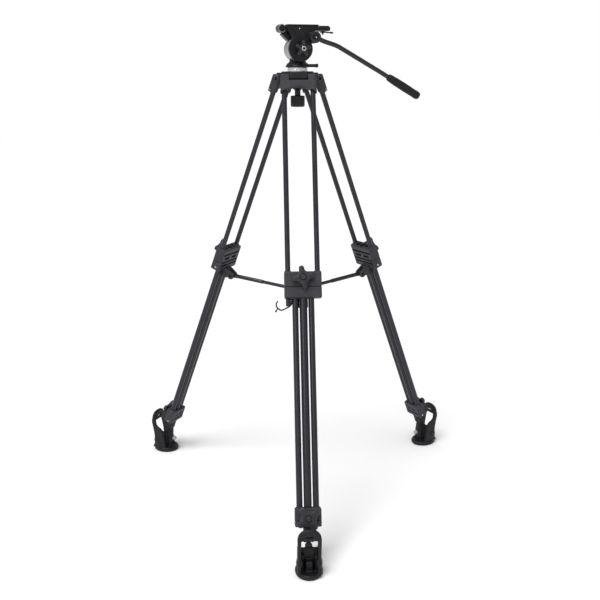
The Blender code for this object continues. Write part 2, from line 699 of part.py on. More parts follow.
def release_lever_mesh():
    """The flat latch under the platform's rear end, in a frame on its pin."""
    blade = box((0.034, 0.0130, 0.0028), (-0.0115, 0, 0), bevel=0.0008)
    tip = box((0.006, 0.0130, 0.0045), (-0.0255, 0, -0.0008), bevel=0.0010)
    hole = cylinder(0.0028, 0.02, sides=16)
    return combined(blade, [tip], [hole])


HANDLE_ROUTE = [(-0.040, 1.3140), (-0.060, 1.3058), (-0.095, 1.2948), (-0.121, 1.2815)]
GRIP_START = (-0.2466, 1.2127)
GRIP_END = (-0.3408, 1.1589)


def handle_direction():
    return Vector((GRIP_END[0] - GRIP_START[0], 0, GRIP_END[1] - GRIP_START[1])).normalized()


def handle_rod_mesh():
    """The handle's tube with its rosette, in a frame on the rosette's axis."""
    x, z = ROSETTE
    along = handle_direction()
    inside = Vector((GRIP_START[0], 0, GRIP_START[1])) + along * 0.022
    route = [Vector((px, 0, pz)) for px, pz in HANDLE_ROUTE] + [inside - along * 0.05, inside]
    points = [p - Vector((x, 0, z)) for p in route]
    tube = pipe([*smoothed(points[:-1], 2), points[-1]], 0.0062, resolution=4)
    disc = cylinder(0.0150, 0.0140, axis="Y", sides=20)
    hole = cylinder(0.0034, 0.03, axis="Y", sides=16)
    return combined(disc, [tube], [hole])


def handle_grip_mesh():
    """The grip in a frame at its front end, its axis along -Z."""
    length = (Vector(GRIP_END) - Vector(GRIP_START)).length
    profile = [
        (0, -0.0235), (0.0066, -0.0235), (0.0066, 0), (0.0100, 0), (0.0112, -0.004),
        (0.0098, -0.007), (0.0105, -0.012), (0.0113, -length / 2), (0.0113, 0.012 - length),
        (0.0095, 0.003 - length), (0.0050, -length), (0, -length),
    ]
    return baked(turned(profile, sides=24))


def handle_screw_mesh():
    """The clamp screw through the rosette, in a frame at its head's lower face."""
    head = cylinder(0.0075, 0.0050, (0, 0.0026, 0), axis="Y", sides=20)
    stud = cylinder(0.0030, 0.0200, (0, -0.0095, 0), axis="Y", sides=12)
    slot = cylinder(0.0035, 0.0040, (0, 0.0051, 0), axis="Y", sides=6)
    return combined(head, [stud], [slot])


def build_head(black, grey, silver, rubber, steel):
    frame = empty("head_axis", AXIS, (0, 0, HEAD_YAW))
    x, z = ROSETTE
    face = DRUM_HALF + 0.0105
    part("pan_base", pan_base_mesh(), black, frame)
    turn = radians(LEVER_AZIMUTH)
    out = Vector((cos(turn), sin(turn), 0)) * 0.0331 + Vector((0, 0, LEVER_HEIGHT))
    part("pan_lever", pan_lever_mesh(), black, frame, out, (0, 0, turn))
    part("head_body", head_body_mesh(), silver, frame)
    part("cradle", cradle_mesh(), black, frame)
    part("tilt_knob", tilt_knob_mesh(), black, frame, (0, face, TILT_HEIGHT))
    part("camera_plate", camera_plate_mesh(), black, frame)
    part("camera_screw", camera_screw_mesh(), steel, frame, (0.010, 0, PLATE_TOP))
    part("plate_lock_knob", plate_lock_knob_mesh(), black, frame, LOCK_KNOB)
    part("release_lever", release_lever_mesh(), black, frame, (-0.072, 0, 1.3312))
    part("handle_rod", handle_rod_mesh(), black, frame, (x, HANDLE_Y, z))
    part("handle_screw", handle_screw_mesh(), steel, frame, (x, HANDLE_Y + 0.0073, z))
    along = handle_direction()
    pitch = (-along).to_track_quat("Z", "Y").to_euler()
    start = (GRIP_START[0], HANDLE_Y, GRIP_START[1])
    part("handle_grip", handle_grip_mesh(), rubber, frame, start, pitch)


def main():
    fresh_scene()
    black = material("black_anodised", (0.03, 0.03, 0.035), 0.38, 0.6)
    grey = material("grey_casting", (0.09, 0.09, 0.10), 0.55, 0.3)
    silver = material("silver_casting", (0.62, 0.63, 0.65), 0.35, 0.9)
    rubber = material("black_rubber", (0.025, 0.025, 0.028), 0.75, 0.0)
    steel = material("dark_steel", (0.06, 0.06, 0.065), 0.35, 0.8)
    build_legs(black, grey, rubber, steel)
    build_spreader(black, grey)
    build_bowl(black, grey, silver)
    build_head(black, grey, silver, rubber, steel)


main()
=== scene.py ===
"""The looks of a video tripod with a fluid head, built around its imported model."""

from math import asin, cos, pi, radians, sin, sqrt

import bmesh
import bpy
from mathutils import Matrix, Vector


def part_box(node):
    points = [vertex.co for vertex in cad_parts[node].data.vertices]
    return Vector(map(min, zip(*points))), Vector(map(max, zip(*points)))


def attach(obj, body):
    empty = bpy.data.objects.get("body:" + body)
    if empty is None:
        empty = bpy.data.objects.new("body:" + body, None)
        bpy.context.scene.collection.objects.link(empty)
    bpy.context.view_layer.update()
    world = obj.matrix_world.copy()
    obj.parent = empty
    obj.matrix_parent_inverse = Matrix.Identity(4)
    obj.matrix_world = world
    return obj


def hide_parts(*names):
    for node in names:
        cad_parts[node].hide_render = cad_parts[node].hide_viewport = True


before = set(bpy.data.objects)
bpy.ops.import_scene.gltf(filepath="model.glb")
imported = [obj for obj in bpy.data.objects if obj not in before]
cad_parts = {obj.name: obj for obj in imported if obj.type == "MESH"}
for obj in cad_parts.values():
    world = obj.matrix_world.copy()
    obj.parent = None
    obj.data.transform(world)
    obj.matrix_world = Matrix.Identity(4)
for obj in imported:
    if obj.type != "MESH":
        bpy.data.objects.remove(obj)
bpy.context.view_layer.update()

# The CAD model's own dimensions, in metres
LEG_ANGLE = radians(21.57)
HINGE_RADIUS = 0.041
HINGE_HEIGHT = 1.209
FOOT_RADIUS = 0.506
AXIS = Vector((0, FOOT_RADIUS / 4, 0))
LEGS = {"front": -90, "right": 30, "left": 150}
GAP = 0.0003
FOOT_PIVOT_HEIGHT = 0.0837
FOOT_PIVOT = -(HINGE_HEIGHT - FOOT_PIVOT_HEIGHT) / cos(LEG_ANGLE)
FOOT_OUTWARD = FOOT_RADIUS - (HINGE_RADIUS - FOOT_PIVOT * sin(LEG_ANGLE))
SOLE_STRETCH = (1, 0.042 / 0.036, 1)
UPPER_TUBE_X = 0.0389
MID_TUBE_X = 0.0211
ARM_PIVOT = Vector((0, 0.040, -0.606))
ARM_LENGTH = 0.2054
ARM_DROP = radians(4.95)
BALL_RADIUS = 0.0375
BALL_RISE = 0.0195
TILT_HEIGHT = 1.2867
BASE_BOTTOM = 1.239
BASE_TOP = 1.2475
PLATE_TOP = 1.350
HEAD_YAW = radians(193.5)
ROSETTE = (-0.0351, 1.3158)
HANDLE_Y = 0.0493
LOCK_KNOB = (0.0465, 0, 1.3400)
LEVER_AZIMUTH = radians(105)
LEVER_HEIGHT = 1.2434
GRIP_START = Vector((-0.2466, 0, 1.2127))
GRIP_END = Vector((-0.3408, 0, 1.1589))

# Bores that the three stages' tubes sit in, and the grain of the softened castings
UPPER_BORE = 0.0073
MID_BORE = 0.0083
LOWER_BORE = 0.01055
FINE_VOXEL = 0.0006
CLAMP_VOXEL = 0.0007


# Shapes


def scratch(data, at=(0, 0, 0), turn=(0, 0, 0)):
    """An object that only serves to build others."""
    obj = bpy.data.objects.new("scratch", data)
    obj.location = at
    obj.rotation_euler = turn
    bpy.context.scene.collection.objects.link(obj)
    return obj


def from_bmesh(shape, at=(0, 0, 0), turn=(0, 0, 0)):
    bmesh.ops.recalc_face_normals(shape, faces=shape.faces)
    mesh = bpy.data.meshes.new("shape")
    shape.to_mesh(mesh)
    shape.free()
    return scratch(mesh, at, turn)


def box(size, at=(0, 0, 0), turn=(0, 0, 0), bevel=0.0, segments=3):
    shape = bmesh.new()
    bmesh.ops.create_cube(shape, size=1)
    bmesh.ops.scale(shape, vec=size, verts=shape.verts)
    if bevel:
        bmesh.ops.bevel(
            shape, geom=shape.edges[:], offset=bevel, segments=segments, affect="EDGES", profile=0.5
        )
    return from_bmesh(shape, at, turn)


def revolve(profile, sides=64, ring=False, wave=None, at=(0, 0, 0), turn=(0, 0, 0)):
    """A solid of revolution about Z from (radius, height) points. wave changes the radius."""
    shape = bmesh.new()
    loops = []
    for radius, height in profile:
        count = sides if radius > 1e-6 else 1
        loop = []
        for i in range(count):
            angle = 2 * pi * i / sides
            r = wave(angle, radius, height) if wave and radius > 1e-6 else radius
            loop.append(shape.verts.new((r * cos(angle), r * sin(angle), height)))
        loops.append(loop)
    pairs = list(zip(loops, loops[1:]))
    if ring:
        pairs.append((loops[-1], loops[0]))
    for a, b in pairs:
        for i in range(sides):
            j = i + 1
            corners = [a[i % len(a)], a[j % len(a)], b[j % len(b)], b[i % len(b)]]
            corners = list(dict.fromkeys(corners))
            if len(corners) > 2:
                shape.faces.new(corners)
    return from_bmesh(shape, at, turn)


TURNS = {"Z": (0, 0, 0), "X": (0, pi / 2, 0), "Y": (-pi / 2, 0, 0)}


def rod(radius, length, at=(0, 0, 0), axis="Z", sides=48, bevel=0.0004):
    """A round bar centred on its place, with rounded rims."""
    half = length / 2
    profile = [
        (0, half), (radius - bevel, half), (radius - 0.3 * bevel, half - 0.3 * bevel),
        (radius, half - bevel), (radius, bevel - half),
        (radius - 0.3 * bevel, 0.3 * bevel - half), (radius - bevel, -half), (0, -half),
    ]
    return revolve(profile, sides, at=at, turn=TURNS[axis])


def slab(outline, thickness, at=(0, 0, 0), turn=(0, 0, 0), bevel=0.0, segments=2):
    """A flat outline in XY, thick along Z, with rounded rims."""
    shape = bmesh.new()
    low = [shape.verts.new((x, y, -thickness / 2)) for x, y in outline]
    face = shape.faces.new(low)
    grown = bmesh.ops.extrude_face_region(shape, geom=[face])
    moved = [item for item in grown["geom"] if isinstance(item, bmesh.types.BMVert)]
    bmesh.ops.translate(shape, vec=(0, 0, thickness), verts=moved)
    if bevel:
        flat = [e for e in shape.edges if abs(e.verts[0].co.z - e.verts[1].co.z) < 1e-7]
        bmesh.ops.bevel(
            shape, geom=flat, offset=bevel, segments=segments, affect="EDGES", profile=0.5
        )
    return from_bmesh(shape, at, turn)


def smoothed(points, steps=8):
    """A denser run of points on the smooth curve through the given ones."""
    points = [Vector(p) for p in points]
    ends = [2 * points[0] - points[1], *points, 2 * points[-1] - points[-2]]
    dense = []
    for a, b, c, d in zip(ends, ends[1:], ends[2:], ends[3:]):
        for i in range(steps):
            t = i / steps
            bend = 2 * a - 5 * b + 4 * c - d
            twist = 3 * b - a - 3 * c + d
            dense.append(b + (c - a) * t / 2 + bend * t**2 / 2 + twist * t**3 / 2)
    return [*dense, points[-1]]


def baked(obj):
    """The object's evaluated mesh with its place applied, and the object removed."""
    bpy.context.view_layer.update()
    graph = bpy.context.evaluated_depsgraph_get()
    mesh = bpy.data.meshes.new_from_object(obj.evaluated_get(graph))
    mesh.transform(obj.matrix_basis)
    bpy.data.objects.remove(obj)
    return mesh


def pipe(points, radius, sides=8):
    """A round bar along the points."""
    curve = bpy.data.curves.new("route", "CURVE")
    curve.dimensions = "3D"
    curve.bevel_depth = radius
    curve.bevel_resolution = sides // 2
    curve.use_fill_caps = True
    spline = curve.splines.new("POLY")
    spline.points.add(len(points) - 1)
    for point, place in zip(spline.points, points):
        point.co = (*place, 1)
    mesh = baked(scratch(curve))
    shape = bmesh.new()
    shape.from_mesh(mesh)
    bmesh.ops.remove_doubles(shape, verts=shape.verts, dist=0.00001)
    return from_bmesh(shape)


def combined(base, add=(), cut=(), voxel=0.0, smooth=0):
    """Shapes joined to the base and cut from it, then with its edges softened as a casting's."""
    operands = [(shape, "UNION") for shape in add] + [(shape, "DIFFERENCE") for shape in cut]
    for shape, operation in operands:
        boolean = base.modifiers.new(operation.lower(), "BOOLEAN")
        boolean.operation = operation
        boolean.object = shape
    if voxel:
        remesh = base.modifiers.new("voxels", "REMESH")
        remesh.mode = "VOXEL"
        remesh.voxel_size = voxel
        remesh.use_smooth_shade = True
    if smooth:
        soft = base.modifiers.new("soften", "SMOOTH")
        soft.factor = 0.5
        soft.iterations = smooth
    mesh = baked(base)
    for shape, _ in operands:
        bpy.data.objects.remove(shape)
    return mesh


def grouped(*shapes):
    """Several closed shapes as one mesh, without joining them."""
    shape = bmesh.new()
    for obj in shapes:
        mesh = baked(obj) if isinstance(obj, bpy.types.Object) else obj
        shape.from_mesh(mesh)
    mesh = bpy.data.meshes.new("group")
    shape.to_mesh(mesh)
    shape.free()
    return mesh


def piece(name, mesh, place, body, finish, replaces=(), sharp=35):
    """A visible piece, which moves with a body of the frame."""
    mesh.shade_smooth()
    if sharp:
        mesh.set_sharp_from_angle(angle=radians(sharp))
    mesh.materials.clear()
    mesh.materials.append(MATERIALS[finish])
    obj = bpy.data.objects.new(name, mesh)
    bpy.context.scene.collection.objects.link(obj)
    obj.matrix_world = place
    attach(obj, body)
    if replaces:
        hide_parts(*replaces)
    return obj


# Materials


MOTTLE_SCALE = 38
GRAIN_SHARE, MOTTLE_SHARE = 0.55, 0.45
RELIEF_DEPTH = 0.0003


def surface(name, base, roughness, metallic, grain, bump, streak=1.0, spread=0.25, shine=0.35):
    """A finish with fine grain, faint larger mottling, and roughness that follows both.

    streak stretches the grain along Z, and spread is how far the colour strays from its base.
    """
    made = bpy.data.materials.new(name)
    made.use_nodes = True
    nodes, links = made.node_tree.nodes, made.node_tree.links
    shader = nodes["Principled BSDF"]
    shader.inputs["Metallic"].default_value = metallic
    shader.inputs["Specular IOR Level"].default_value = shine
    place = nodes.new("ShaderNodeTexCoord")
    stretch = nodes.new("ShaderNodeMapping")
    stretch.inputs["Scale"].default_value = (1, 1, streak)
    links.new(place.outputs["Object"], stretch.inputs["Vector"])
    fine = nodes.new("ShaderNodeTexNoise")
    fine.inputs["Scale"].default_value = grain
    fine.inputs["Detail"].default_value = 4
    links.new(stretch.outputs["Vector"], fine.inputs["Vector"])
    broad = nodes.new("ShaderNodeTexNoise")
    broad.inputs["Scale"].default_value = MOTTLE_SCALE
    broad.inputs["Detail"].default_value = 3
    links.new(place.outputs["Object"], broad.inputs["Vector"])
    both = nodes.new("ShaderNodeMath")
    both.operation = "MULTIPLY_ADD"
    both.inputs[1].default_value = GRAIN_SHARE
    links.new(fine.outputs["Fac"], both.inputs[0])
    share = nodes.new("ShaderNodeMath")
    share.operation = "MULTIPLY"
    share.inputs[1].default_value = MOTTLE_SHARE
    links.new(broad.outputs["Fac"], share.inputs[0])
    links.new(share.outputs["Value"], both.inputs[2])
    tone = nodes.new("ShaderNodeValToRGB")
    low, high = tone.color_ramp.elements
    low.position, high.position = 0.36, 0.66
    low.color = (*[c * (1 - spread) for c in base], 1)
    high.color = (*[min(1, c * (1 + spread)) for c in base], 1)
    links.new(both.outputs["Value"], tone.inputs["Fac"])
    links.new(tone.outputs["Color"], shader.inputs["Base Color"])
    gloss = nodes.new("ShaderNodeMapRange")
    gloss.inputs["From Min"].default_value = 0.35
    gloss.inputs["From Max"].default_value = 0.65
    gloss.inputs["To Min"].default_value = roughness * 0.86
    gloss.inputs["To Max"].default_value = min(1, roughness * 1.14)
    links.new(both.outputs["Value"], gloss.inputs["Value"])
    links.new(gloss.outputs["Result"], shader.inputs["Roughness"])
    relief = nodes.new("ShaderNodeBump")
    relief.inputs["Strength"].default_value = bump
    relief.inputs["Distance"].default_value = RELIEF_DEPTH
    links.new(fine.outputs["Fac"], relief.inputs["Height"])
    links.new(relief.outputs["Normal"], shader.inputs["Normal"])
    return made


# Each finish: colour, roughness, metallic, grain, bump, streak, spread, shine
MATERIALS = {
    "tube": surface("anodised_tube", (0.03, 0.03, 0.036), 0.30, 0.55, 900, 0.08, 0.02, 0.12, 0.45),
    "casting": surface("grey_casting", (0.034, 0.034, 0.040), 0.50, 0.1, 1500, 0.40, 1, 0.35, 0.30),
    "crown": surface("crown_casting", (0.016, 0.016, 0.019), 0.50, 0.1, 1500, 0.35, 1, 0.30, 0.25),
    "black": surface("black_casting", (0.008, 0.008, 0.010), 0.40, 0.1, 1600, 0.25, 1, 0.30, 0.30),
    "silver": surface("silver_casting", (0.80, 0.81, 0.83), 0.42, 0.70, 1800, 0.10, 1, 0.10),
    "drum": surface("drum_casting", (0.40, 0.40, 0.42), 0.45, 0.60, 1800, 0.14, 1, 0.12),
    "rubber": surface("black_rubber", (0.010, 0.010, 0.012), 0.62, 0.0, 1100, 0.45, 1, 0.25, 0.25),
    "foot": surface("foot_rubber", (0.007, 0.007, 0.009), 0.48, 0.0, 1100, 0.40, 1, 0.30, 0.28),
    "plastic": surface("knob_plastic", (0.008, 0.008, 0.010), 0.38, 0.0, 1700, 0.28, 1, 0.25, 0.32),
    "knob": surface("grey_knob", (0.020, 0.020, 0.024), 0.44, 0.0, 1700, 0.30, 1, 0.25, 0.35),
    "bright": surface("bright_steel", (0.66, 0.66, 0.67), 0.24, 1.0, 1200, 0.05, 1, 0.06),
    "wire": surface("dark_wire", (0.004, 0.004, 0.005), 0.34, 0.1, 900, 0.05, 1, 0.15, 0.30),
}


# Legs, in the leg's frame: X along the hinge, Y inwards, Z up the leg


def leg_place(azimuth):
    turn = radians(azimuth)
    hinge = AXIS + Vector((HINGE_RADIUS * cos(turn), HINGE_RADIUS * sin(turn), HINGE_HEIGHT))
    return (
        Matrix.Translation(hinge)
        @ Matrix.Rotation(turn + pi / 2, 4, "Z")
        @ Matrix.Rotation(-LEG_ANGLE, 4, "X")
    )


def tube_mesh(radius, wall, start, end):
    inner, rim = radius - wall, 0.0004
    profile = [
        (inner, -start), (radius - rim, -start), (radius, -start - rim), (radius, rim - end),
        (radius - rim, -end), (inner, -end),
    ]
    return baked(revolve(profile, 40, ring=True))


def yoke_mesh():
    body = box((0.097, 0.0192, 0.050), (0, -0.0054, -0.015), bevel=0.0048, segments=5)
    sleeves = [
        rod(0.0107, 0.048, (side * UPPER_TUBE_X, 0, -0.018), bevel=0.003) for side in (-1, 1)
    ]
    rim = rod(0.0452, 0.040, sides=96)
    rim.matrix_basis = (
        Matrix.Rotation(LEG_ANGLE, 4, "X") @ Matrix.Translation((0, HINGE_RADIUS, 0.024))
    )
    cuts = [
        box((0.0514, 0.08, 0.04), (0, 0, 0.0116), bevel=0.0015),
        rod(0.078, 0.08, (0, 0, -0.1025), axis="Y", sides=240),
        rod(0.0041, 0.2, axis="X", sides=32),
        rim,
    ]
    for side in (-1, 1):
        cuts.append(rod(UPPER_BORE, 0.056, (side * UPPER_TUBE_X, 0, -0.0337), sides=40))
        cuts.append(box((0.0120, 0.0030, 0.0012), (side * 0.0300, -0.0150, -0.0086)))
        spot = (side * UPPER_TUBE_X, -0.0156, -0.017)
        cuts.append(box((0.0200, 0.0016, 0.0290), spot, bevel=0.0005))
    return combined(body, sleeves, cuts, FINE_VOXEL, 2)


def side_screws(x, y, along, radius=0.0026):
    """Socket screws in both side walls."""
    shapes = []
    for side in (-1, 1):
        head = rod(radius, 0.0014, (side * x, y, -along), axis="X", sides=24)
        socket = rod(radius * 0.5, 0.0016, (side * (x + 0.0008), y, -along), "X", 6, 0.0001)
        shapes.append(scratch(combined(head, [], [socket])))
    return grouped(*shapes)


def mid_clamp_mesh():
    body = box((0.098, 0.030, 0.070), (0, 0, -0.562), bevel=0.0036, segments=4)
    add, cuts = [], []
    for side in (-1, 1):
        add.append(rod(0.0098, 0.008, (side * UPPER_TUBE_X, 0, -0.5285), bevel=0.0015))
        cuts.append(rod(MID_BORE, 0.11, (side * MID_TUBE_X, 0, -0.562), sides=40))
        cuts.append(rod(UPPER_BORE, 0.060, (side * UPPER_TUBE_X, 0, -0.5423), sides=40))
        cuts.append(box((0.0260, 0.0160, 0.0070), (side * 0.0190, 0.0150, -0.5570), bevel=0.0015))
        cuts.append(box((0.0044, 0.0340, 0.0019), (side * 0.049, 0, -0.5675)))
    cuts.append(rod(LOWER_BORE, 0.14, (0, 0, -0.570), sides=48))
    cuts.append(box((0.104, 0.0052, 0.0019), (0, -0.0150, -0.5675)))
    cuts.append(box((0.0860, 0.0160, 0.0056), (0, 0.0150, -0.5440), bevel=0.0010))
    cuts.append(box((0.0860, 0.0160, 0.0046), (0, 0.0150, -0.5690), bevel=0.0010))
    cuts.append(box((0.0860, 0.0160, 0.0044), (0, 0.0150, -0.5795), bevel=0.0010))
    cuts.append(rod(0.0033, 0.0076, (0, -0.0150, -0.545), axis="Y", sides=24))
    pivot_y, pivot_z = ARM_PIVOT.y, ARM_PIVOT.z
    nose = [
        (pivot_y + 0.0108 * cos(a), pivot_z + 0.0108 * sin(a))
        for a in [radians(70 - 20 * i) for i in range(11)]
    ]
    outline = [(0.010, -0.588), (0.024, -0.589), *nose, (0.010, -0.621)]
    for side in (-1, 1):
        ear = slab(outline, 0.0064, (side * 0.0098, 0, 0), (pi / 2, 0, pi / 2), 0.0012)
        add.append(ear)
    add.append(box((0.0190, 0.0140, 0.0330), (0, 0.0185, -0.6045), bevel=0.001))
    return combined(body, add, cuts, CLAMP_VOXEL, 2)


def lower_clamp_mesh():
    body = box((0.068, 0.030, 0.047), (0, 0, -1.1565), bevel=0.0036, segments=4)
    add, cuts = [], []
    for side in (-1, 1):
        add.append(rod(0.0106, 0.007, (side * MID_TUBE_X, 0, -1.1345), bevel=0.0014))
        cuts.append(rod(MID_BORE, 0.0600, (side * MID_TUBE_X, 0, -1.1425), sides=40))
        cuts.append(box((0.0030, 0.0340, 0.0012), (side * 0.034, 0, -1.1640)))
        cuts.append(box((0.0150, 0.0050, 0.0090), (side * 0.0115, 0.0150, -1.1500), bevel=0.001))
    cuts.append(rod(LOWER_BORE, 0.10, (0, 0, -1.1565), sides=48))
    cuts.append(box((0.072, 0.0050, 0.0018), (0, -0.0150, -1.1640)))
    cuts.append(box((0.0560, 0.0140, 0.0040), (0, 0.0150, -1.1640), bevel=0.0010))
    cuts.append(rod(0.0033, 0.0076, (0, -0.0150, -1.157), axis="Y", sides=24))
    return combined(body, add, cuts, CLAMP_VOXEL, 2)


def arm_radius(angle, arms, tip, half_width, hub):
    """The radius of a knob with straight, round-ended arms, in the given direction."""
    step = 2 * pi / arms
    away = abs((angle + step / 2) % step - step / 2)
    centre = tip - half_width
    across = centre * sin(away)
    if across < half_width:
        reach = centre * cos(away) + sqrt(half_width**2 - across**2)
    else:
        reach = half_width / sin(away)
    return (reach**7 + hub**7) ** (1 / 7)


def star_mesh(arms, tip, half_width, hub, low, high, sides=160):
    """A moulded star knob about Z: crowned arms with soft rims."""
    soft = (high - low) * 0.30
    rows = [
        (0.0, low), (0.50, low), (0.84, low), (0.94, low + 0.25 * soft), (1.0, low + soft),
        (1.0, high - 1.2 * soft), (0.95, high - 0.45 * soft), (0.86, high - 0.12 * soft),
        (0.70, high), (0.50, high + 0.10 * soft), (0.0, high + 0.12 * soft),
    ]
    profile = [(tip * share, height) for share, height in rows]

    def wave(angle, radius, _height):
        return radius / tip * arm_radius(angle, arms, tip, half_width, hub)

    return revolve(profile, sides, wave=wave)


def leg_knob_mesh(tip, half_width, hub):
    """The knob in a frame on the clamp's face, outwards along -Y."""
    star = star_mesh(4, tip, half_width, hub, 0.0058, 0.0182)
    boss = rod(0.0102, 0.0060, (0, 0, 0.0036), bevel=0.0006)
    cap = revolve([
        (0, 0.0228), (0.0048, 0.0228), (0.0062, 0.0222), (0.0068, 0.0208), (0.0070, 0.0160),
        (0, 0.016),
    ])
    moat = revolve(
        [(0.0072, 0.0215), (0.0090, 0.0215), (0.0090, 0.0168), (0.0072, 0.0168)], ring=True
    )
    dimple = rod(0.0026, 0.003, (0, 0, 0.0238), bevel=0.0008)
    mesh = combined(star, [boss], [moat])
    mesh = combined(scratch(mesh), [cap], [dimple], FINE_VOXEL, 2)
    mesh.transform(Matrix.Rotation(pi / 2, 4, "X"))
    return mesh


def foot_fork_mesh():
    z = FOOT_PIVOT
    neck = rod(0.0132, 0.0170, (0, 0, z + 0.0200), bevel=0.0014)
    collar = rod(0.0138, 0.0040, (0, 0, z + 0.0262), bevel=0.0010)
    ears = []
    for side in (-1, 1):
        ears.append(box((0.0058, 0.0182, 0.0170), (side * 0.0097, 0, z + 0.0075), bevel=0.0008))
        ears.append(rod(0.0093, 0.0058, (side * 0.0097, 0, z), axis="X", bevel=0.0010))
        ears.append(rod(0.0045, 0.0080, (side * 0.0097, 0, z), axis="X", bevel=0.0006))
    socket = rod(LOWER_BORE, 0.0160, (0, 0, z + 0.0255), sides=40)
    pin = rod(0.0030, 0.022, (0, 0, z), axis="X")
    return combined(neck, [collar, *ears, pin], [socket], FINE_VOXEL, 2)


def boot_mesh():
    """The moulded rubber foot, in a frame on its pivot: X along the pivot, Y inwards, Z up."""
    floor = -FOOT_PIVOT_HEIGHT
    out = FOOT_OUTWARD
    sole = [
        (0, 0.0135), (0.0300, 0.0140), (0.0340, 0.0130), (0.0357, 0.0100), (0.0360, 0.0065),
        (0.0352, 0.0030), (0.0330, 0), (0, 0),
    ]
    disc = revolve(sole, 96, at=(0, -out, floor))
    disc.scale = SOLE_STRETCH
    upright = (pi / 2, 0, pi / 2)
    rib = [
        (-0.0330, 0.010), (0.0000, 0.010), (0.0060, 0.040), (0.0082, 0.066), (0.0088, -floor),
        (-0.0088, -floor), (-0.0120, 0.055), (-0.0200, 0.030),
    ]
    rib = slab([(y, z + floor) for y, z in rib], 0.0120, turn=upright)
    post = box((0.0186, 0.0150, 0.0640), (0, -0.0065, floor + 0.0400), bevel=0.003)
    root = box((0.0190, 0.0400, 0.0300), (0, -0.0180, floor + 0.024), bevel=0.004)
    cup = box((0.0480, 0.0100, 0.0600), (0, -out + 0.0040, floor + 0.0380), bevel=0.003)
    eye = rod(0.0088, 0.0122, axis="X")
    outer = [
        (0.0345, 0.010), (0.0280, 0.024), (0.0262, 0.042), (0.0275, 0.062), (0.0310, 0.080),
        (0.0346, 0.096), (0.0350, 0.104), (0.0336, 0.111), (0.0296, 0.115), (0.0230, 0.112),
    ]
    inner = [
        (0.0205, 0.106), (0.0208, 0.099), (0.0190, 0.090), (0.0120, 0.083), (0.0040, 0.080),
        (-0.0060, 0.070), (-0.0100, 0.050), (-0.0150, 0.010),
    ]
    walls = []
    for side in (-1, 1):
        outline = [(-out - y, z + floor) for y, z in outer + inner]
        wall = slab(outline, 0.0096, (side * 0.0254, 0, 0), upright, 0.0030, 3)
        walls.append(wall)
        bulge = bmesh.new()
        bmesh.ops.create_uvsphere(bulge, u_segments=32, v_segments=20, radius=1)
        bmesh.ops.scale(bulge, vec=(0.0095, 0.0150, 0.0200), verts=bulge.verts)
        walls.append(from_bmesh(bulge, (side * 0.0240, -out - 0.0150, floor + 0.0360)))
        for y in (-0.0040, 0.0080):
            spot = (side * 0.0165, -out - 0.0100 + y, floor + 0.0330)
            walls.append(rod(0.0028, 0.0500, spot, sides=24))
    half = [
        (0.0252, 0.0275, 0.104), (0.0240, 0.0280, 0.1160), (0.0190, 0.0276, 0.1248),
        (0.0105, 0.0270, 0.1296),
    ]
    arch = [*half, (0, 0.0267, 0.1308), *[(-x, y, z) for x, y, z in reversed(half)]]
    band = pipe(smoothed([(x, -out - y, floor + z) for x, y, z in arch], 5), 0.0056, 12)
    brow = (0, -out - 0.0258, floor + 0.1150)
    tongue = box((0.0420, 0.0080, 0.0230), brow, bevel=0.0034, segments=4)
    slot = box((0.0200, 0.0200, 0.0044), brow, bevel=0.0014)
    hole = rod(0.0033, 0.05, axis="X", sides=24)
    ring = revolve(
        [(0.0310, 0.0155), (0.0325, 0.0155), (0.0325, 0.0125), (0.0310, 0.0125)], 96, True,
        at=(0, -out, floor),
    )
    ring.scale = SOLE_STRETCH
    shapes = [rib, post, root, cup, eye, band, tongue, *walls]
    return combined(disc, shapes, [hole, ring, slot], 0.0010, 4)


def heel_tab_mesh():
    """The worn metal heel at the boot's inner side."""
    floor = -FOOT_PIVOT_HEIGHT
    tab = box((0.0090, 0.0120, 0.0110), (0, 0.0140, 0.0430 + floor), (radians(-35), 0, 0), 0.0016)
    return baked(tab)


def clip_meshes():
    stub = rod(0.0068, 0.020, (0, 0, -0.0103), bevel=0.0008)
    groove = revolve(
        [(0.0062, -0.0045), (0.0080, -0.0045), (0.0080, -0.0060), (0.0062, -0.0060)], 48, True
    )
    route = [
        (0.0084, -0.0010, -0.0012), (0.0086, -0.0010, -0.0120), (0.0050, -0.0010, -0.0190),
        (-0.0030, -0.0010, -0.0240), (-0.0125, -0.0010, -0.0287), (-0.0200, -0.0010, -0.0302),
        (-0.0264, -0.0010, -0.0268), (-0.0312, -0.0010, -0.0200), (-0.0315, -0.0010, -0.0130),
        (-0.0275, -0.0010, -0.006),
    ]
    hook = pipe(smoothed(route, 8), 0.0019, 10)
    tail = pipe([(-0.0280, -0.0010, -0.0248), (-0.0340, -0.0010, -0.0350)], 0.0018, 10)
    tip = rod(0.0023, 0.0042, (-0.0332, -0.0010, -0.0336), bevel=0.0010)
    return combined(stub, [], [groove]), grouped(hook, tail, tip)


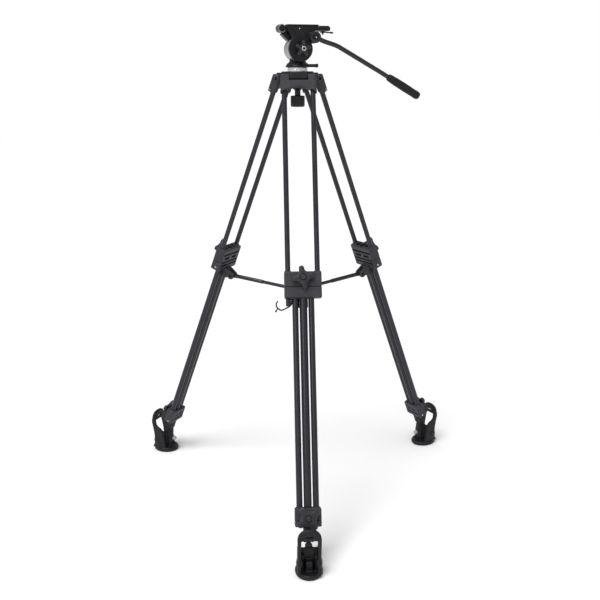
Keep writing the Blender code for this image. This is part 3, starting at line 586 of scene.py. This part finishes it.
def build_legs():
    meshes = {
        "upper_tube": tube_mesh(0.007, 0.0013, 0.0062, 0.572),
        "mid_tube": tube_mesh(0.008, 0.0013, 0.532, 1.172),
        "lower_tube": tube_mesh(0.01025, 0.0015, 0.545, 1.192),
        "yoke": yoke_mesh(),
        "yoke_screws": side_screws(0.0486, -0.009, 0.0330, 0.0018),
        "mid_clamp": mid_clamp_mesh(),
        "mid_screws": side_screws(0.0494, 0.002, 0.5860),
        "lower_clamp": lower_clamp_mesh(),
        "lower_screws": side_screws(0.0344, 0.003, 1.1720, 0.0023),
        "mid_knob": leg_knob_mesh(0.0312, 0.0070, 0.0180),
        "lower_knob": leg_knob_mesh(0.0338, 0.0084, 0.0205),
        "fork": foot_fork_mesh(),
        "boot": boot_mesh(),
        "heel": heel_tab_mesh(),
        "arm_pin": baked(rod(0.0042, 0.0292, ARM_PIVOT, axis="X", sides=24, bevel=0.0008)),
    }
    for leg, azimuth in LEGS.items():
        place = leg_place(azimuth)
        body = f"{leg}_leg"
        piece(f"{leg}_yoke", meshes["yoke"], place, body, "casting", [f"{leg}_leg_yoke"])
        piece(f"{leg}_yoke_screws", meshes["yoke_screws"], place, body, "bright")
        piece(f"{leg}_clamp", meshes["mid_clamp"], place, body, "casting", [f"{leg}_mid_clamp"])
        piece(f"{leg}_clamp_screws", meshes["mid_screws"], place, body, "bright")
        piece(f"{leg}_arm_pin", meshes["arm_pin"], place, body, "wire")
        stage = f"{leg}_mid_stage"
        piece(
            f"{leg}_lower_lock", meshes["lower_clamp"], place, stage, "casting",
            [f"{leg}_lower_clamp"],
        )
        piece(f"{leg}_lower_screws", meshes["lower_screws"], place, stage, "bright")
        tubes = (("upper_tube", UPPER_TUBE_X, body), ("mid_tube", MID_TUBE_X, stage))
        for name, offset, owner in tubes:
            for label, side in (("a", -1), ("b", 1)):
                piece(
                    f"{leg}_{name}_{label}_skin", meshes[name],
                    place @ Matrix.Translation((side * offset, 0, 0)), owner, "tube",
                    [f"{leg}_{name}_{label}"],
                )
        stage = f"{leg}_lower_stage"
        piece(
            f"{leg}_lower_tube_skin", meshes["lower_tube"], place, stage, "tube",
            [f"{leg}_lower_tube"],
        )
        piece(f"{leg}_fork", meshes["fork"], place, stage, "black", [f"{leg}_foot_fork"])
        for name, along, roll in (("mid_knob", 0.545, 10), ("lower_knob", 1.157, 35)):
            spot = place @ Matrix.Translation((0, -0.015, -along)) @ Matrix.Rotation(
                -radians(roll), 4, "Y"
            )
            piece(f"{leg}_{name}_star", meshes[name], spot, f"{leg}_{name}", "knob",
                  [f"{leg}_{name}"])
        around = radians(azimuth)
        radius = FOOT_RADIUS - FOOT_OUTWARD
        spot = AXIS + Vector((radius * cos(around), radius * sin(around), FOOT_PIVOT_HEIGHT))
        place = Matrix.Translation(spot) @ Matrix.Rotation(around + pi / 2, 4, "Z")
        aim = place.to_3x3().to_4x4()
        for name, finish, hides in (("boot", "foot", [f"{leg}_foot_pad"]), ("heel", "drum", ())):
            mesh = meshes[name].copy()
            mesh.transform(aim)
            piece(f"{leg}_{name}", mesh, Matrix.Translation(spot), f"{leg}_foot", finish, hides)
    place = leg_place(LEGS["front"]) @ Matrix.Translation((-UPPER_TUBE_X, 0, -0.597))
    stub, hook = clip_meshes()
    piece("clip_stub", stub, place, "front_leg", "tube", ["leg_clip"])
    piece("clip_hook", hook, place, "front_leg", "wire", ["leg_clip"])


# Spreader


def arm_tube_mesh():
    tube = rod(0.0059, 0.1045, (0, 0.05625, 0), axis="Y", sides=40)
    eye = rod(0.0080, 0.0120, axis="X", bevel=0.0010)
    collar = rod(0.0064, 0.0060, (0, 0.0150, 0), axis="Y", bevel=0.0006)
    hole = rod(0.0028, 0.03, axis="X", sides=24)
    bore = rod(0.0053, 0.1085, (0, 0.0643, 0), axis="Y", sides=40)
    return combined(tube, [eye, collar], [bore, hole])


def arm_rod_mesh():
    end = ARM_LENGTH
    bar = revolve(
        [(0, 0.0965), (0.0046, 0.0965), (0.0050, 0.0969), (0.0050, end - 0.0130),
         (0.0028, end - 0.0100), (0.0028, end - 0.0040), (0, end - 0.0040)],
        40, turn=TURNS["Y"],
    )
    eye = revolve(
        [(0.0022, 0.0030), (0.0057, 0.0030), (0.0062, 0.0025), (0.0062, -0.0025),
         (0.0057, -0.0030), (0.0022, -0.0030)],
        40, True, at=(0, end, 0), turn=TURNS["X"],
    )
    return grouped(bar, eye)


def hub_mesh():
    disc = rod(0.017, 0.0118, sides=96, bevel=0.0016)
    dish = rod(0.0105, 0.0040, (0, 0, 0.0062), sides=64, bevel=0.0010)
    ears, slots = [], []
    for azimuth in LEGS.values():
        turn = radians(azimuth)
        out = Vector((cos(turn), sin(turn), 0))
        ears.append(box((0.022, 0.0140, 0.0114), out * 0.018, (0, 0, turn), 0.0020, 4))
        slots.append(box((0.030, 0.0072, 0.04), out * 0.030, (0, 0, turn)))
    return combined(disc, ears, [*slots, dish], FINE_VOXEL, 1)


def hub_pins_mesh():
    pins = []
    for azimuth in LEGS.values():
        turn = radians(azimuth)
        pin = rod(0.0019, 0.0146, sides=20, bevel=0.0004)
        pin.matrix_basis = (
            Matrix.Translation(Vector((cos(turn), sin(turn), 0)) * 0.022)
            @ Matrix.Rotation(turn + pi / 2, 4, "Z")
            @ Matrix.Rotation(pi / 2, 4, "Y")
        )
        pins.append(pin)
    return grouped(*pins)


def build_spreader():
    tube, bar = arm_tube_mesh(), arm_rod_mesh()
    for leg, azimuth in LEGS.items():
        pivot = leg_place(azimuth) @ ARM_PIVOT
        place = (
            Matrix.Translation(pivot)
            @ Matrix.Rotation(radians(azimuth) + pi / 2, 4, "Z")
            @ Matrix.Rotation(-ARM_DROP, 4, "X")
        )
        piece(f"{leg}_arm_outer", tube, place, f"{leg}_arm_tube", "tube", [f"{leg}_arm_tube"])
        piece(f"{leg}_arm_inner", bar, place, f"{leg}_arm_rod", "tube", [f"{leg}_arm_rod"])
    low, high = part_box("spreader_hub")
    place = Matrix.Translation((AXIS.x, AXIS.y, (low.z + high.z) / 2))
    piece("hub_body", hub_mesh(), place, "hub", "plastic", ["spreader_hub"])
    piece("hub_pins", hub_pins_mesh(), place, "hub", "bright")


# Levelling bowl, in a frame on the tripod's axis at the ball's centre


def arc(radius, first, last, steps):
    """Points on a sphere's lower half, between two distances from the axis."""
    begin, end = asin(first / radius), asin(last / radius)
    angles = [begin + (end - begin) * i / steps for i in range(steps + 1)]
    return [(radius * sin(a), -radius * cos(a)) for a in angles]


def crown_mesh():
    inner, outer, rim, depth = 0.0381, 0.0418, 0.0440, 0.0095
    shell = [
        (0, 0), (rim - 0.0008, 0), (rim, -0.0008), (rim, 0.0008 - depth), (rim - 0.0008, -depth),
        *reversed(arc(outer, 0.006, sqrt(outer**2 - depth**2), 10)), (0, -outer),
    ]
    solid = revolve(shell, 120)
    lobes = []
    for azimuth in LEGS.values():
        turn = radians(azimuth)
        out = Vector((cos(turn), sin(turn), 0))
        side = Matrix.Rotation(turn + pi / 2, 4, "Z")
        lobe = box((0.0500, 0.027, 0.0170), bevel=0.0022, segments=4)
        lobe.matrix_basis = Matrix.Translation(out * 0.0395 + Vector((0, 0, -0.0114))) @ side
        line = Matrix.Translation(out * HINGE_RADIUS + Vector((0, 0, -BALL_RISE))) @ side
        line = line @ Matrix.Rotation(pi / 2, 4, "Y")
        knuckle = rod(0.0079, 0.0496, bevel=0.0012)
        knuckle.matrix_basis = line
        pin = rod(0.0037, 0.0920, bevel=0.0006)
        pin.matrix_basis = line
        lobes += [lobe, knuckle, pin]
    hollow = [(0, 0.01), (inner, 0.01), (inner, -0.001), *reversed(arc(inner, 0.006, 0.0379, 14))]
    cavity = revolve([*hollow, (0, -inner)], 120)
    hole = rod(0.0165, 0.04, (0, 0, -inner), sides=64)
    return combined(solid, lobes, [cavity, hole], 0.0008, 1)


def half_ball_mesh():
    neck = 0.0102
    profile = [
        (0.0053, neck), (0.0272, neck), (0.0275, neck - 0.0004), (0.0275, 0.0074),
        (0.0270, 0.0070), (0.0270, 0.0064), (0.0275, 0.0060), (0.0275, 0.0004), (0.0280, 0),
        (0.0372, 0), *reversed(arc(BALL_RADIUS, 0.025, 0.03748, 12)), (0.0053, -0.02795),
    ]
    return baked(revolve(profile, 96, ring=True))


def neck_screws_mesh():
    """The round bolt and the small screw on the neck's near side."""
    shapes = []
    for azimuth, radius, stand in ((255, 0.0034, 0.0018), (287, 0.0019, 0.0012)):
        turn = radians(azimuth)
        head = rod(radius, stand * 2, sides=32, bevel=0.0004)
        head.matrix_basis = (
            Matrix.Rotation(turn, 4, "Z")
            @ Matrix.Translation((0.0275, 0, 0.0044))
            @ Matrix.Rotation(pi / 2, 4, "Y")
        )
        shapes.append(head)
    return grouped(*shapes)


def washer_mesh():
    profile = [*reversed(arc(0.0421, 0.014, 0.021, 4)), *arc(0.0445, 0.014, 0.021, 4)]
    return baked(revolve(profile, 64, ring=True))


def clamp_knob_mesh():
    seat, top, bottom = 0.0448, -0.0645, -0.0945

    def ribbed(angle, radius, height):
        if height < top - 0.0015 and height > bottom + 0.0015 and radius > 0.0185:
            return radius - 0.0011 * (0.5 - 0.5 * cos(22 * angle)) ** 3
        return radius

    profile = [
        (0, -0.012), (0.0046, -0.012), (0.005, -0.0124), (0.005, -0.0400),
        *arc(seat, 0.0052, 0.019, 6), (0.019, -0.0430), (0.0182, -0.0440), (0.010, -0.0484),
        (0.0082, -0.0505), (0.008, -0.0520),
        (0.008, top + 0.0010), (0.0090, top), (0.0170, top), (0.0188, top - 0.0008),
        (0.0195, top - 0.0026), (0.0195, (top + bottom) / 2), (0.0195, bottom + 0.0040),
        (0.0185, bottom + 0.0015), (0.0165, bottom), (0.0110, bottom), (0.0100, bottom + 0.0015),
        (0, bottom + 0.0015),
    ]
    return baked(revolve(profile, 176, wave=ribbed))


def build_bowl():
    place = Matrix.Translation(AXIS + Vector((0, 0, HINGE_HEIGHT + BALL_RISE)))
    piece("crown_casting", crown_mesh(), place, "crown", "crown", ["crown"])
    piece("ball_and_neck", half_ball_mesh(), place, "half_ball", "silver", ["half_ball"])
    piece("neck_screws", neck_screws_mesh(), place, "half_ball", "bright")
    piece("bowl_washer_ring", washer_mesh(), place, "bowl_washer", "wire", ["clamp_washer"])
    piece("bowl_knob_body", clamp_knob_mesh(), place, "bowl_knob", "plastic", ["clamp_knob"])


# Head, in a frame on the tripod's axis at the floor: X to the lens, Y to the handle's side


def pan_base_mesh():
    profile = [
        (0, BASE_TOP), (0.0296, BASE_TOP), (0.0303, BASE_TOP - 0.0005), (0.0322, 1.2432),
        (0.0325, 1.2424), (0.0325, 1.2396), (0.0319, 1.2391), (0, 1.2391),
    ]
    base = revolve(profile, 96)
    boss = rod(0.0036, 0.020)
    boss.matrix_basis = (
        Matrix.Translation((0, 0, LEVER_HEIGHT))
        @ Matrix.Rotation(LEVER_AZIMUTH, 4, "Z")
        @ Matrix.Translation((0.0300, 0, 0))
        @ Matrix.Rotation(pi / 2, 4, "Y")
    )
    spigot = rod(0.0100, 0.010, (0, 0, BASE_TOP + 0.001))
    bore = rod(0.0053, 0.014, (0, 0, BASE_BOTTOM))
    return combined(base, [boss, spigot], [bore])


def pan_lever_mesh():
    arm = box((0.0050, 0.046, 0.0085), (0.0025, 0.021, 0), bevel=0.0016, segments=4)
    boss = rod(0.0062, 0.0060, (0.0028, 0, 0), axis="X", bevel=0.0010)
    ring = rod(0.0053, 0.0050, (0.0026, 0.0388, 0), axis="X", bevel=0.0010)
    hole = rod(0.0039, 0.03, axis="X", sides=32)
    dish = box((0.0020, 0.018, 0.0038), (0.0052, 0.031, 0), bevel=0.0006)
    return combined(arm, [boss, ring], [hole, dish], 0.0005, 2)


def drum_mesh():
    half = 0.024
    profile = [
        (0.0078, 0.030), (0.0080, 0.0296), (0.0080, half), (0.0312, half), (0.0325, half - 0.0013),
        (0.0325, 0.0160), (0.0320, 0.0155), (0.0320, 0.0145), (0.0325, 0.0140),
        (0.0325, -0.0140), (0.0320, -0.0145), (0.0320, -0.0155), (0.0325, -0.0160),
        (0.0325, 0.0013 - half), (0.0312, -half), (0.0080, -half), (0.0080, -0.0296),
        (0.0078, -0.030),
    ]
    profile = [(0, 0.030), *profile, (0, -0.030)]
    return baked(revolve(profile, 120, at=(0, 0, TILT_HEIGHT), turn=TURNS["Y"]))


def skirt_mesh():
    base = BASE_TOP + GAP
    profile = [
        (0, base + 0.012), (0.022, base + 0.012), (0.0226, base + 0.0080), (0.0234, base + 0.005),
        (0.0258, base + 0.0028), (0.0286, base + 0.0016), (0.0290, base + 0.0010),
        (0.0290, base), (0, base),
    ]
    skirt = revolve(profile, 96)
    drum = rod(0.0326, 0.060, (0, 0, TILT_HEIGHT), axis="Y", sides=120)
    socket = rod(0.0103, 0.0132, (0, 0, BASE_TOP))
    return combined(skirt, [], [drum, socket])


def cheek(side, radius, thickness):
    y = side * (0.0245 + thickness / 2)
    disc = rod(radius, thickness, (0, y, TILT_HEIGHT), axis="Y", sides=120, bevel=0.0012)
    top = 1.3375 - TILT_HEIGHT
    outline = [
        (0.0345, top), (0.0300, 0.0400), (0.0215, 0.0255), (-0.0260, 0.0215), (-0.0300, 0.0290),
        (-0.0345, top),
    ]
    web = slab(outline, thickness - 0.0008, (0, y, TILT_HEIGHT), (pi / 2, 0, 0), 0.0008)
    return [disc, web]


def cradle_mesh():
    platform = box((0.119, 0.068, 0.0105), (-0.0235, 0, 1.33875), bevel=0.0018, segments=4)
    rear = box((0.029, 0.050, 0.0108), (-0.0680, 0, 1.3417), bevel=0.0014)
    block = box((0.025, 0.026, 0.014), (0.0335, 0, 1.3212), (0, -radians(44), 0), 0.0012)
    gusset = box((0.013, 0.022, 0.014), (0.0265, 0, 1.3293))
    x, z = ROSETTE
    rosette = rod(0.0155, 0.0170, (x, 0.0335, z), axis="Y", sides=96, bevel=0.0012)
    strut = box((0.024, 0.0095, 0.020), (-0.0300, 0.0293, 1.3240), (0, radians(25), 0), 0.002)
    shapes = [rear, block, gusset, rosette, strut]
    shapes += [*cheek(1, 0.0335, 0.010), *cheek(-1, 0.028, 0.008)]
    groove = revolve(
        [(0.0268, 0.0352), (0.0282, 0.0352), (0.0282, 0.0336), (0.0268, 0.0336)], 120, True,
        at=(0, 0, TILT_HEIGHT), turn=TURNS["Y"],
    )
    cuts = [
        box((0.16, 0.0406, 0.012), (-0.0235, 0, 1.3446)),
        rod(0.0083, 0.2, (0, 0, TILT_HEIGHT), axis="Y", sides=48),
        rod(0.0116, 0.0288, LOCK_KNOB, axis="Y", sides=64),
        rod(0.0033, 0.024, (x, 0.0420, z), axis="Y", sides=24),
        box((0.060, 0.0030, 0.0014), (-0.012, 0.0342, 1.3388)),
        box((0.022, 0.0024, 0.0080), (0.0040, 0.0345, 1.3260), bevel=0.0008),
        groove,
    ]
    body = combined(platform, shapes, cuts)
    lugs = [
        box((0.0188, 0.0040, 0.0094), (0.0446, side * 0.0168, 1.3396), bevel=0.0012)
        for side in (-1, 1)
    ]
    pin = rod(0.0028, 0.036, LOCK_KNOB, axis="Y", sides=32)
    lever_pin = rod(0.0025, 0.010, (-0.072, 0, 1.3300), sides=32)
    return combined(scratch(body), [*lugs, pin, lever_pin], (), FINE_VOXEL, 2)


def tilt_knob_mesh():
    star = star_mesh(5, 0.0215, 0.0046, 0.0100, 0.0150, 0.0248, 200)
    boss = rod(0.0081, 0.0160, (0, 0, 0.0083), bevel=0.0006)
    mesh = combined(star, [boss], [], 0.0005, 2)
    mesh.transform(Matrix.Rotation(-pi / 2, 4, "X"))
    return mesh


def tilt_ring_mesh():
    profile = [
        (0.0034, 0.0290), (0.0058, 0.0290), (0.0062, 0.0286), (0.0062, 0.0244), (0.0034, 0.0244),
    ]
    return baked(revolve(profile, 64, True, turn=TURNS["Y"]))


def camera_plate_mesh():
    top = box((0.088, 0.050, 0.0052), (-0.009, 0, PLATE_TOP - 0.0026), bevel=0.0012, segments=3)
    tongue = box((0.088, 0.0396, 0.0060), (-0.009, 0, 1.3428), bevel=0.0006)
    cuts = [
        rod(0.0036, 0.04, (0.010, 0, PLATE_TOP), sides=40),
        rod(0.0086, 0.0094, (0.010, 0, 1.3418), sides=48),
    ]
    for x in (-0.0345, 0.0245):
        cuts.append(box((0.0120, 0.0420, 0.0016), (x, 0, PLATE_TOP), bevel=0.0004))
    cuts.append(box((0.0340, 0.0050, 0.0100), (-0.0160, 0, PLATE_TOP), bevel=0.0010))
    return combined(top, [tongue], cuts)


def plate_pads_mesh():
    """Ribbed rubber strips let into the plate."""
    shapes = []
    for x in (-0.0345, 0.0245):
        shapes.append(box((0.0116, 0.0416, 0.0006), (x, 0, PLATE_TOP - 0.0005)))
        for i in range(7):
            shapes.append(
                box((0.0009, 0.0410, 0.0006), (x + 0.0016 * (i - 3), 0, PLATE_TOP - 0.00035))
            )
    return grouped(*shapes)


def camera_screw_mesh():
    profile = [
        (0, -0.0012), (0.0012, -0.0012), (0.0016, -0.0004), (0.0026, -0.0004), (0.0031, -0.0010),
        (0.0031, -0.0092), (0.0076, -0.0092), (0.0078, -0.0094), (0.0078, -0.0105),
        (0.0076, -0.0107), (0, -0.0107),
    ]
    return baked(revolve(profile, 48))


def lock_knob_mesh():
    def knurled(angle, radius, height):
        if abs(height) < 0.0128 and radius > 0.0105:
            return radius - 0.0005 * (0.5 - 0.5 * cos(36 * angle)) ** 2
        return radius

    profile = [
        (0.0031, 0.0118), (0.0080, 0.0118), (0.0086, 0.0124), (0.0088, 0.0138), (0.0102, 0.0140),
        (0.0111, 0.0132), (0.0111, 0.0120), (0.0111, 0.0), (0.0111, -0.0120), (0.0111, -0.0132),
        (0.0102, -0.0140), (0.0088, -0.0138), (0.0086, -0.0124), (0.0080, -0.0118),
        (0.0031, -0.0118),
    ]
    return baked(revolve(profile, 216, True, knurled, turn=TURNS["Y"]))


def lock_rim_mesh():
    profile = [(0.0089, 0.0141), (0.0104, 0.0142), (0.0108, 0.0138), (0.0089, 0.0136)]
    rims = [
        revolve([(r, side * h) for r, h in profile], 64, True, turn=TURNS["Y"]) for side in (-1, 1)
    ]
    return grouped(*rims)


def release_lever_mesh():
    blade = box((0.034, 0.0130, 0.0028), (-0.0115, 0, 0), bevel=0.0008)
    tip = box((0.006, 0.0130, 0.0045), (-0.0255, 0, -0.0008), bevel=0.0012)
    hole = rod(0.0028, 0.02, sides=32)
    ribs = [box((0.0008, 0.0110, 0.0010), (-0.0120 - 0.0022 * i, 0, -0.0014)) for i in range(5)]
    return combined(blade, [tip, *ribs], [hole])


def handle_direction():
    return (GRIP_END - GRIP_START).normalized()


def handle_rod_mesh():
    x, z = ROSETTE
    along = handle_direction()
    inside = GRIP_START + along * 0.022
    bends = [(-0.040, 1.3140), (-0.060, 1.3058), (-0.095, 1.2948), (-0.121, 1.2815)]
    route = [Vector((px, 0, pz)) for px, pz in bends] + [inside - along * 0.05]
    points = [p - Vector((x, 0, z)) for p in route]
    tube = pipe([*smoothed(points, 6), inside - Vector((x, 0, z))], 0.0062, 20)
    disc = rod(0.0150, 0.0140, axis="Y", sides=96, bevel=0.0010)
    teeth = []
    for i in range(24):
        notch = box((0.0045, 0.0012, 0.0009))
        notch.matrix_basis = (
            Matrix.Rotation(2 * pi * i / 24, 4, "Y") @ Matrix.Translation((0.0130, -0.0070, 0))
        )
        teeth.append(notch)
    hole = rod(0.0034, 0.03, axis="Y", sides=32)
    return combined(disc, [tube], [hole, *teeth])


def grip_mesh():
    length = (GRIP_END - GRIP_START).length

    def fluted(angle, radius, height):
        if 0.018 < -height < length - 0.014:
            return radius - 0.00035 * (0.5 - 0.5 * cos(18 * angle)) ** 2
        return radius

    profile = [
        (0, -0.0235), (0.0066, -0.0235), (0.0066, 0), (0.0080, 0), (0.0088, -0.0010),
        (0.0096, -0.0040), (0.0101, -0.0085), (0.0101, -0.0098), (0.0097, -0.0104),
        (0.0097, -0.0114), (0.0103, -0.0122), (0.0106, -0.0180),
    ]
    steps = 24
    for i in range(1, steps):
        share = i / steps
        height = -0.0180 - (length - 0.032) * share
        swell = 0.0107 + 0.0006 * sin(pi * share)
        profile.append((swell, height))
    profile += [
        (0.0113, 0.0140 - length), (0.0110, 0.0080 - length), (0.0098, 0.0030 - length),
        (0.0080, 0.0008 - length), (0.0050, -length), (0, -length),
    ]
    return baked(revolve(profile, 108, wave=fluted))


def handle_screw_mesh():
    head = rod(0.0075, 0.0050, (0, 0.0026, 0), axis="Y", sides=64, bevel=0.0010)
    socket = rod(0.0036, 0.0040, (0, 0.0051, 0), axis="Y", sides=6, bevel=0.0001)
    stud = rod(0.0030, 0.0200, (0, -0.0095, 0), axis="Y")
    return combined(head, [stud], [socket])


def build_head():
    axis = Matrix.Translation(AXIS) @ Matrix.Rotation(HEAD_YAW, 4, "Z")
    x, z = ROSETTE
    piece("pan_base_casting", pan_base_mesh(), axis, "half_ball", "black", ["pan_base"])
    out = Vector((cos(LEVER_AZIMUTH), sin(LEVER_AZIMUTH), 0)) * 0.0331
    lever = Matrix.Translation(out + Vector((0, 0, LEVER_HEIGHT)))
    lever = axis @ lever @ Matrix.Rotation(LEVER_AZIMUTH, 4, "Z")
    piece("pan_lever_arm", pan_lever_mesh(), lever, "pan_lever", "plastic", ["pan_lever"])
    piece("drum_casting", drum_mesh(), axis, "head", "drum", ["head_body"])
    piece("head_skirt", skirt_mesh(), axis, "head", "black", ["head_body"])
    piece("cradle_casting", cradle_mesh(), axis, "cradle", "black", ["cradle"])
    badge = rod(0.0017, 0.0012, (0.0036, 0.0342, 1.3390), axis="Y", sides=32)
    piece("platform_dot", baked(badge), axis, "cradle", "bright")
    knob = axis @ Matrix.Translation((0, 0.0345, TILT_HEIGHT)) @ Matrix.Rotation(
        radians(-23), 4, "Y"
    )
    piece("tilt_star", tilt_knob_mesh(), knob, "tilt_knob", "knob", ["tilt_knob"])
    piece("tilt_star_ring", tilt_ring_mesh(), knob, "tilt_knob", "bright")
    piece("plate_casting", camera_plate_mesh(), axis, "plate", "black", ["camera_plate"])
    piece("plate_pads", plate_pads_mesh(), axis, "plate", "rubber")
    screw = axis @ Matrix.Translation((0.010, 0, PLATE_TOP))
    piece("plate_screw", camera_screw_mesh(), screw, "camera_screw", "bright", ["camera_screw"])
    lock = axis @ Matrix.Translation(LOCK_KNOB)
    piece("lock_knob_drum", lock_knob_mesh(), lock, "plate_lock_knob", "plastic",
          ["plate_lock_knob"])
    piece("lock_knob_rims", lock_rim_mesh(), lock, "plate_lock_knob", "drum")
    latch = axis @ Matrix.Translation((-0.072, 0, 1.3312))
    piece("release_blade", release_lever_mesh(), latch, "release_lever", "plastic",
          ["release_lever"])
    handle = axis @ Matrix.Translation((x, HANDLE_Y, z))
    piece("handle_tube", handle_rod_mesh(), handle, "handle", "tube", ["handle_rod"])
    pitch = (-handle_direction()).to_track_quat("Z", "Y").to_matrix().to_4x4()
    grip = axis @ Matrix.Translation((GRIP_START.x, HANDLE_Y, GRIP_START.z)) @ pitch
    piece("grip_sleeve", grip_mesh(), grip, "handle", "rubber", ["handle_grip"])
    screw = axis @ Matrix.Translation((x, HANDLE_Y + 0.0073, z))
    piece("handle_bolt", handle_screw_mesh(), screw, "handle_screw", "wire", ["handle_screw"])
    cap = baked(rod(0.0021, 0.0012, (0, 0.0034, 0), axis="Y", sides=24))
    piece("handle_bolt_core", cap, screw, "handle_screw", "bright")


# Studio


def emitter(name, place, target, size, power):
    data = bpy.data.lights.new(name, "AREA")
    data.shape = "RECTANGLE"
    data.size, data.size_y = size
    data.energy = power
    obj = bpy.data.objects.new(name, data)
    bpy.context.scene.collection.objects.link(obj)
    obj.location = place
    aim = (Vector(target) - Vector(place)).to_track_quat("-Z", "Y")
    obj.rotation_euler = aim.to_euler()


FLOOR_REACH = 14
AMBIENT, BACKDROP = 0.55, 1.0


def build_studio():
    """A pale floor, soft light from above and a backdrop that the camera sees as white."""
    floor = bpy.data.meshes.new("studio_floor")
    shape = bmesh.new()
    corners = ((-1, -1), (1, -1), (1, 1), (-1, 1))
    shape.faces.new([shape.verts.new((FLOOR_REACH * x, FLOOR_REACH * y, 0)) for x, y in corners])
    shape.to_mesh(floor)
    shape.free()
    pale = bpy.data.materials.new("pale_floor")
    pale.use_nodes = True
    shader = pale.node_tree.nodes["Principled BSDF"]
    shader.inputs["Base Color"].default_value = (0.93, 0.93, 0.93, 1)
    shader.inputs["Roughness"].default_value = 0.9
    floor.materials.append(pale)
    obj = bpy.data.objects.new("studio_floor", floor)
    bpy.context.scene.collection.objects.link(obj)
    world = bpy.data.worlds.new("studio")
    bpy.context.scene.world = world
    world.use_nodes = True
    nodes, links = world.node_tree.nodes, world.node_tree.links
    background = nodes["Background"]
    background.inputs["Color"].default_value = (1, 1, 1, 1)
    path = nodes.new("ShaderNodeLightPath")
    level = nodes.new("ShaderNodeMapRange")
    level.inputs["To Min"].default_value = AMBIENT
    level.inputs["To Max"].default_value = BACKDROP
    links.new(path.outputs["Is Camera Ray"], level.inputs["Value"])
    links.new(level.outputs["Result"], background.inputs["Strength"])
    top = bpy.data.lights.new("top", "SUN")
    top.energy = 2.1
    top.angle = radians(32)
    lamp = bpy.data.objects.new("top", top)
    bpy.context.scene.collection.objects.link(lamp)
    lamp.rotation_euler = Vector((0.30, 0.42, -1)).to_track_quat("-Z", "Y").to_euler()
    emitter("front", (-1.6, -3.0, 1.9), (0, 0.1, 0.8), (1.0, 1.0), 16)


def show_plainly():
    """Tones as they are, so that the white studio stays white."""
    bpy.context.scene.view_settings.view_transform = "Standard"


SENSOR_WIDTH = 36
FOCAL_LENGTH = 49.86


def build_camera():
    """The camera, in front of the tripod and looking down on it."""
    distance, height = 2.363, 1.2148
    pitch, yaw, roll, around = radians(15.05), radians(0.104), radians(-0.217), radians(2.674)
    forward = Vector((sin(yaw) * cos(pitch), cos(yaw) * cos(pitch), -sin(pitch)))
    right = forward.cross(Vector((0, 0, 1))).normalized()
    up = right.cross(forward)
    right, up = right * cos(roll) + up * sin(roll), up * cos(roll) - right * sin(roll)
    turn = Matrix.Rotation(-around, 3, "Z")
    forward, right, up = turn @ forward, turn @ right, turn @ up
    place = AXIS + Vector((-distance * sin(around), -distance * cos(around), height))
    data = bpy.data.cameras.new("camera")
    data.sensor_width = SENSOR_WIDTH
    data.lens = FOCAL_LENGTH
    data.clip_start, data.clip_end = 0.05, 60
    obj = bpy.data.objects.new("camera", data)
    bpy.context.scene.collection.objects.link(obj)
    rows = Matrix((right, up, -forward)).transposed().to_4x4()
    obj.matrix_world = Matrix.Translation(place) @ rows
    bpy.context.scene.camera = obj


build_camera()
show_plainly()
build_studio()
build_legs()
build_spreader()
build_bowl()
build_head()
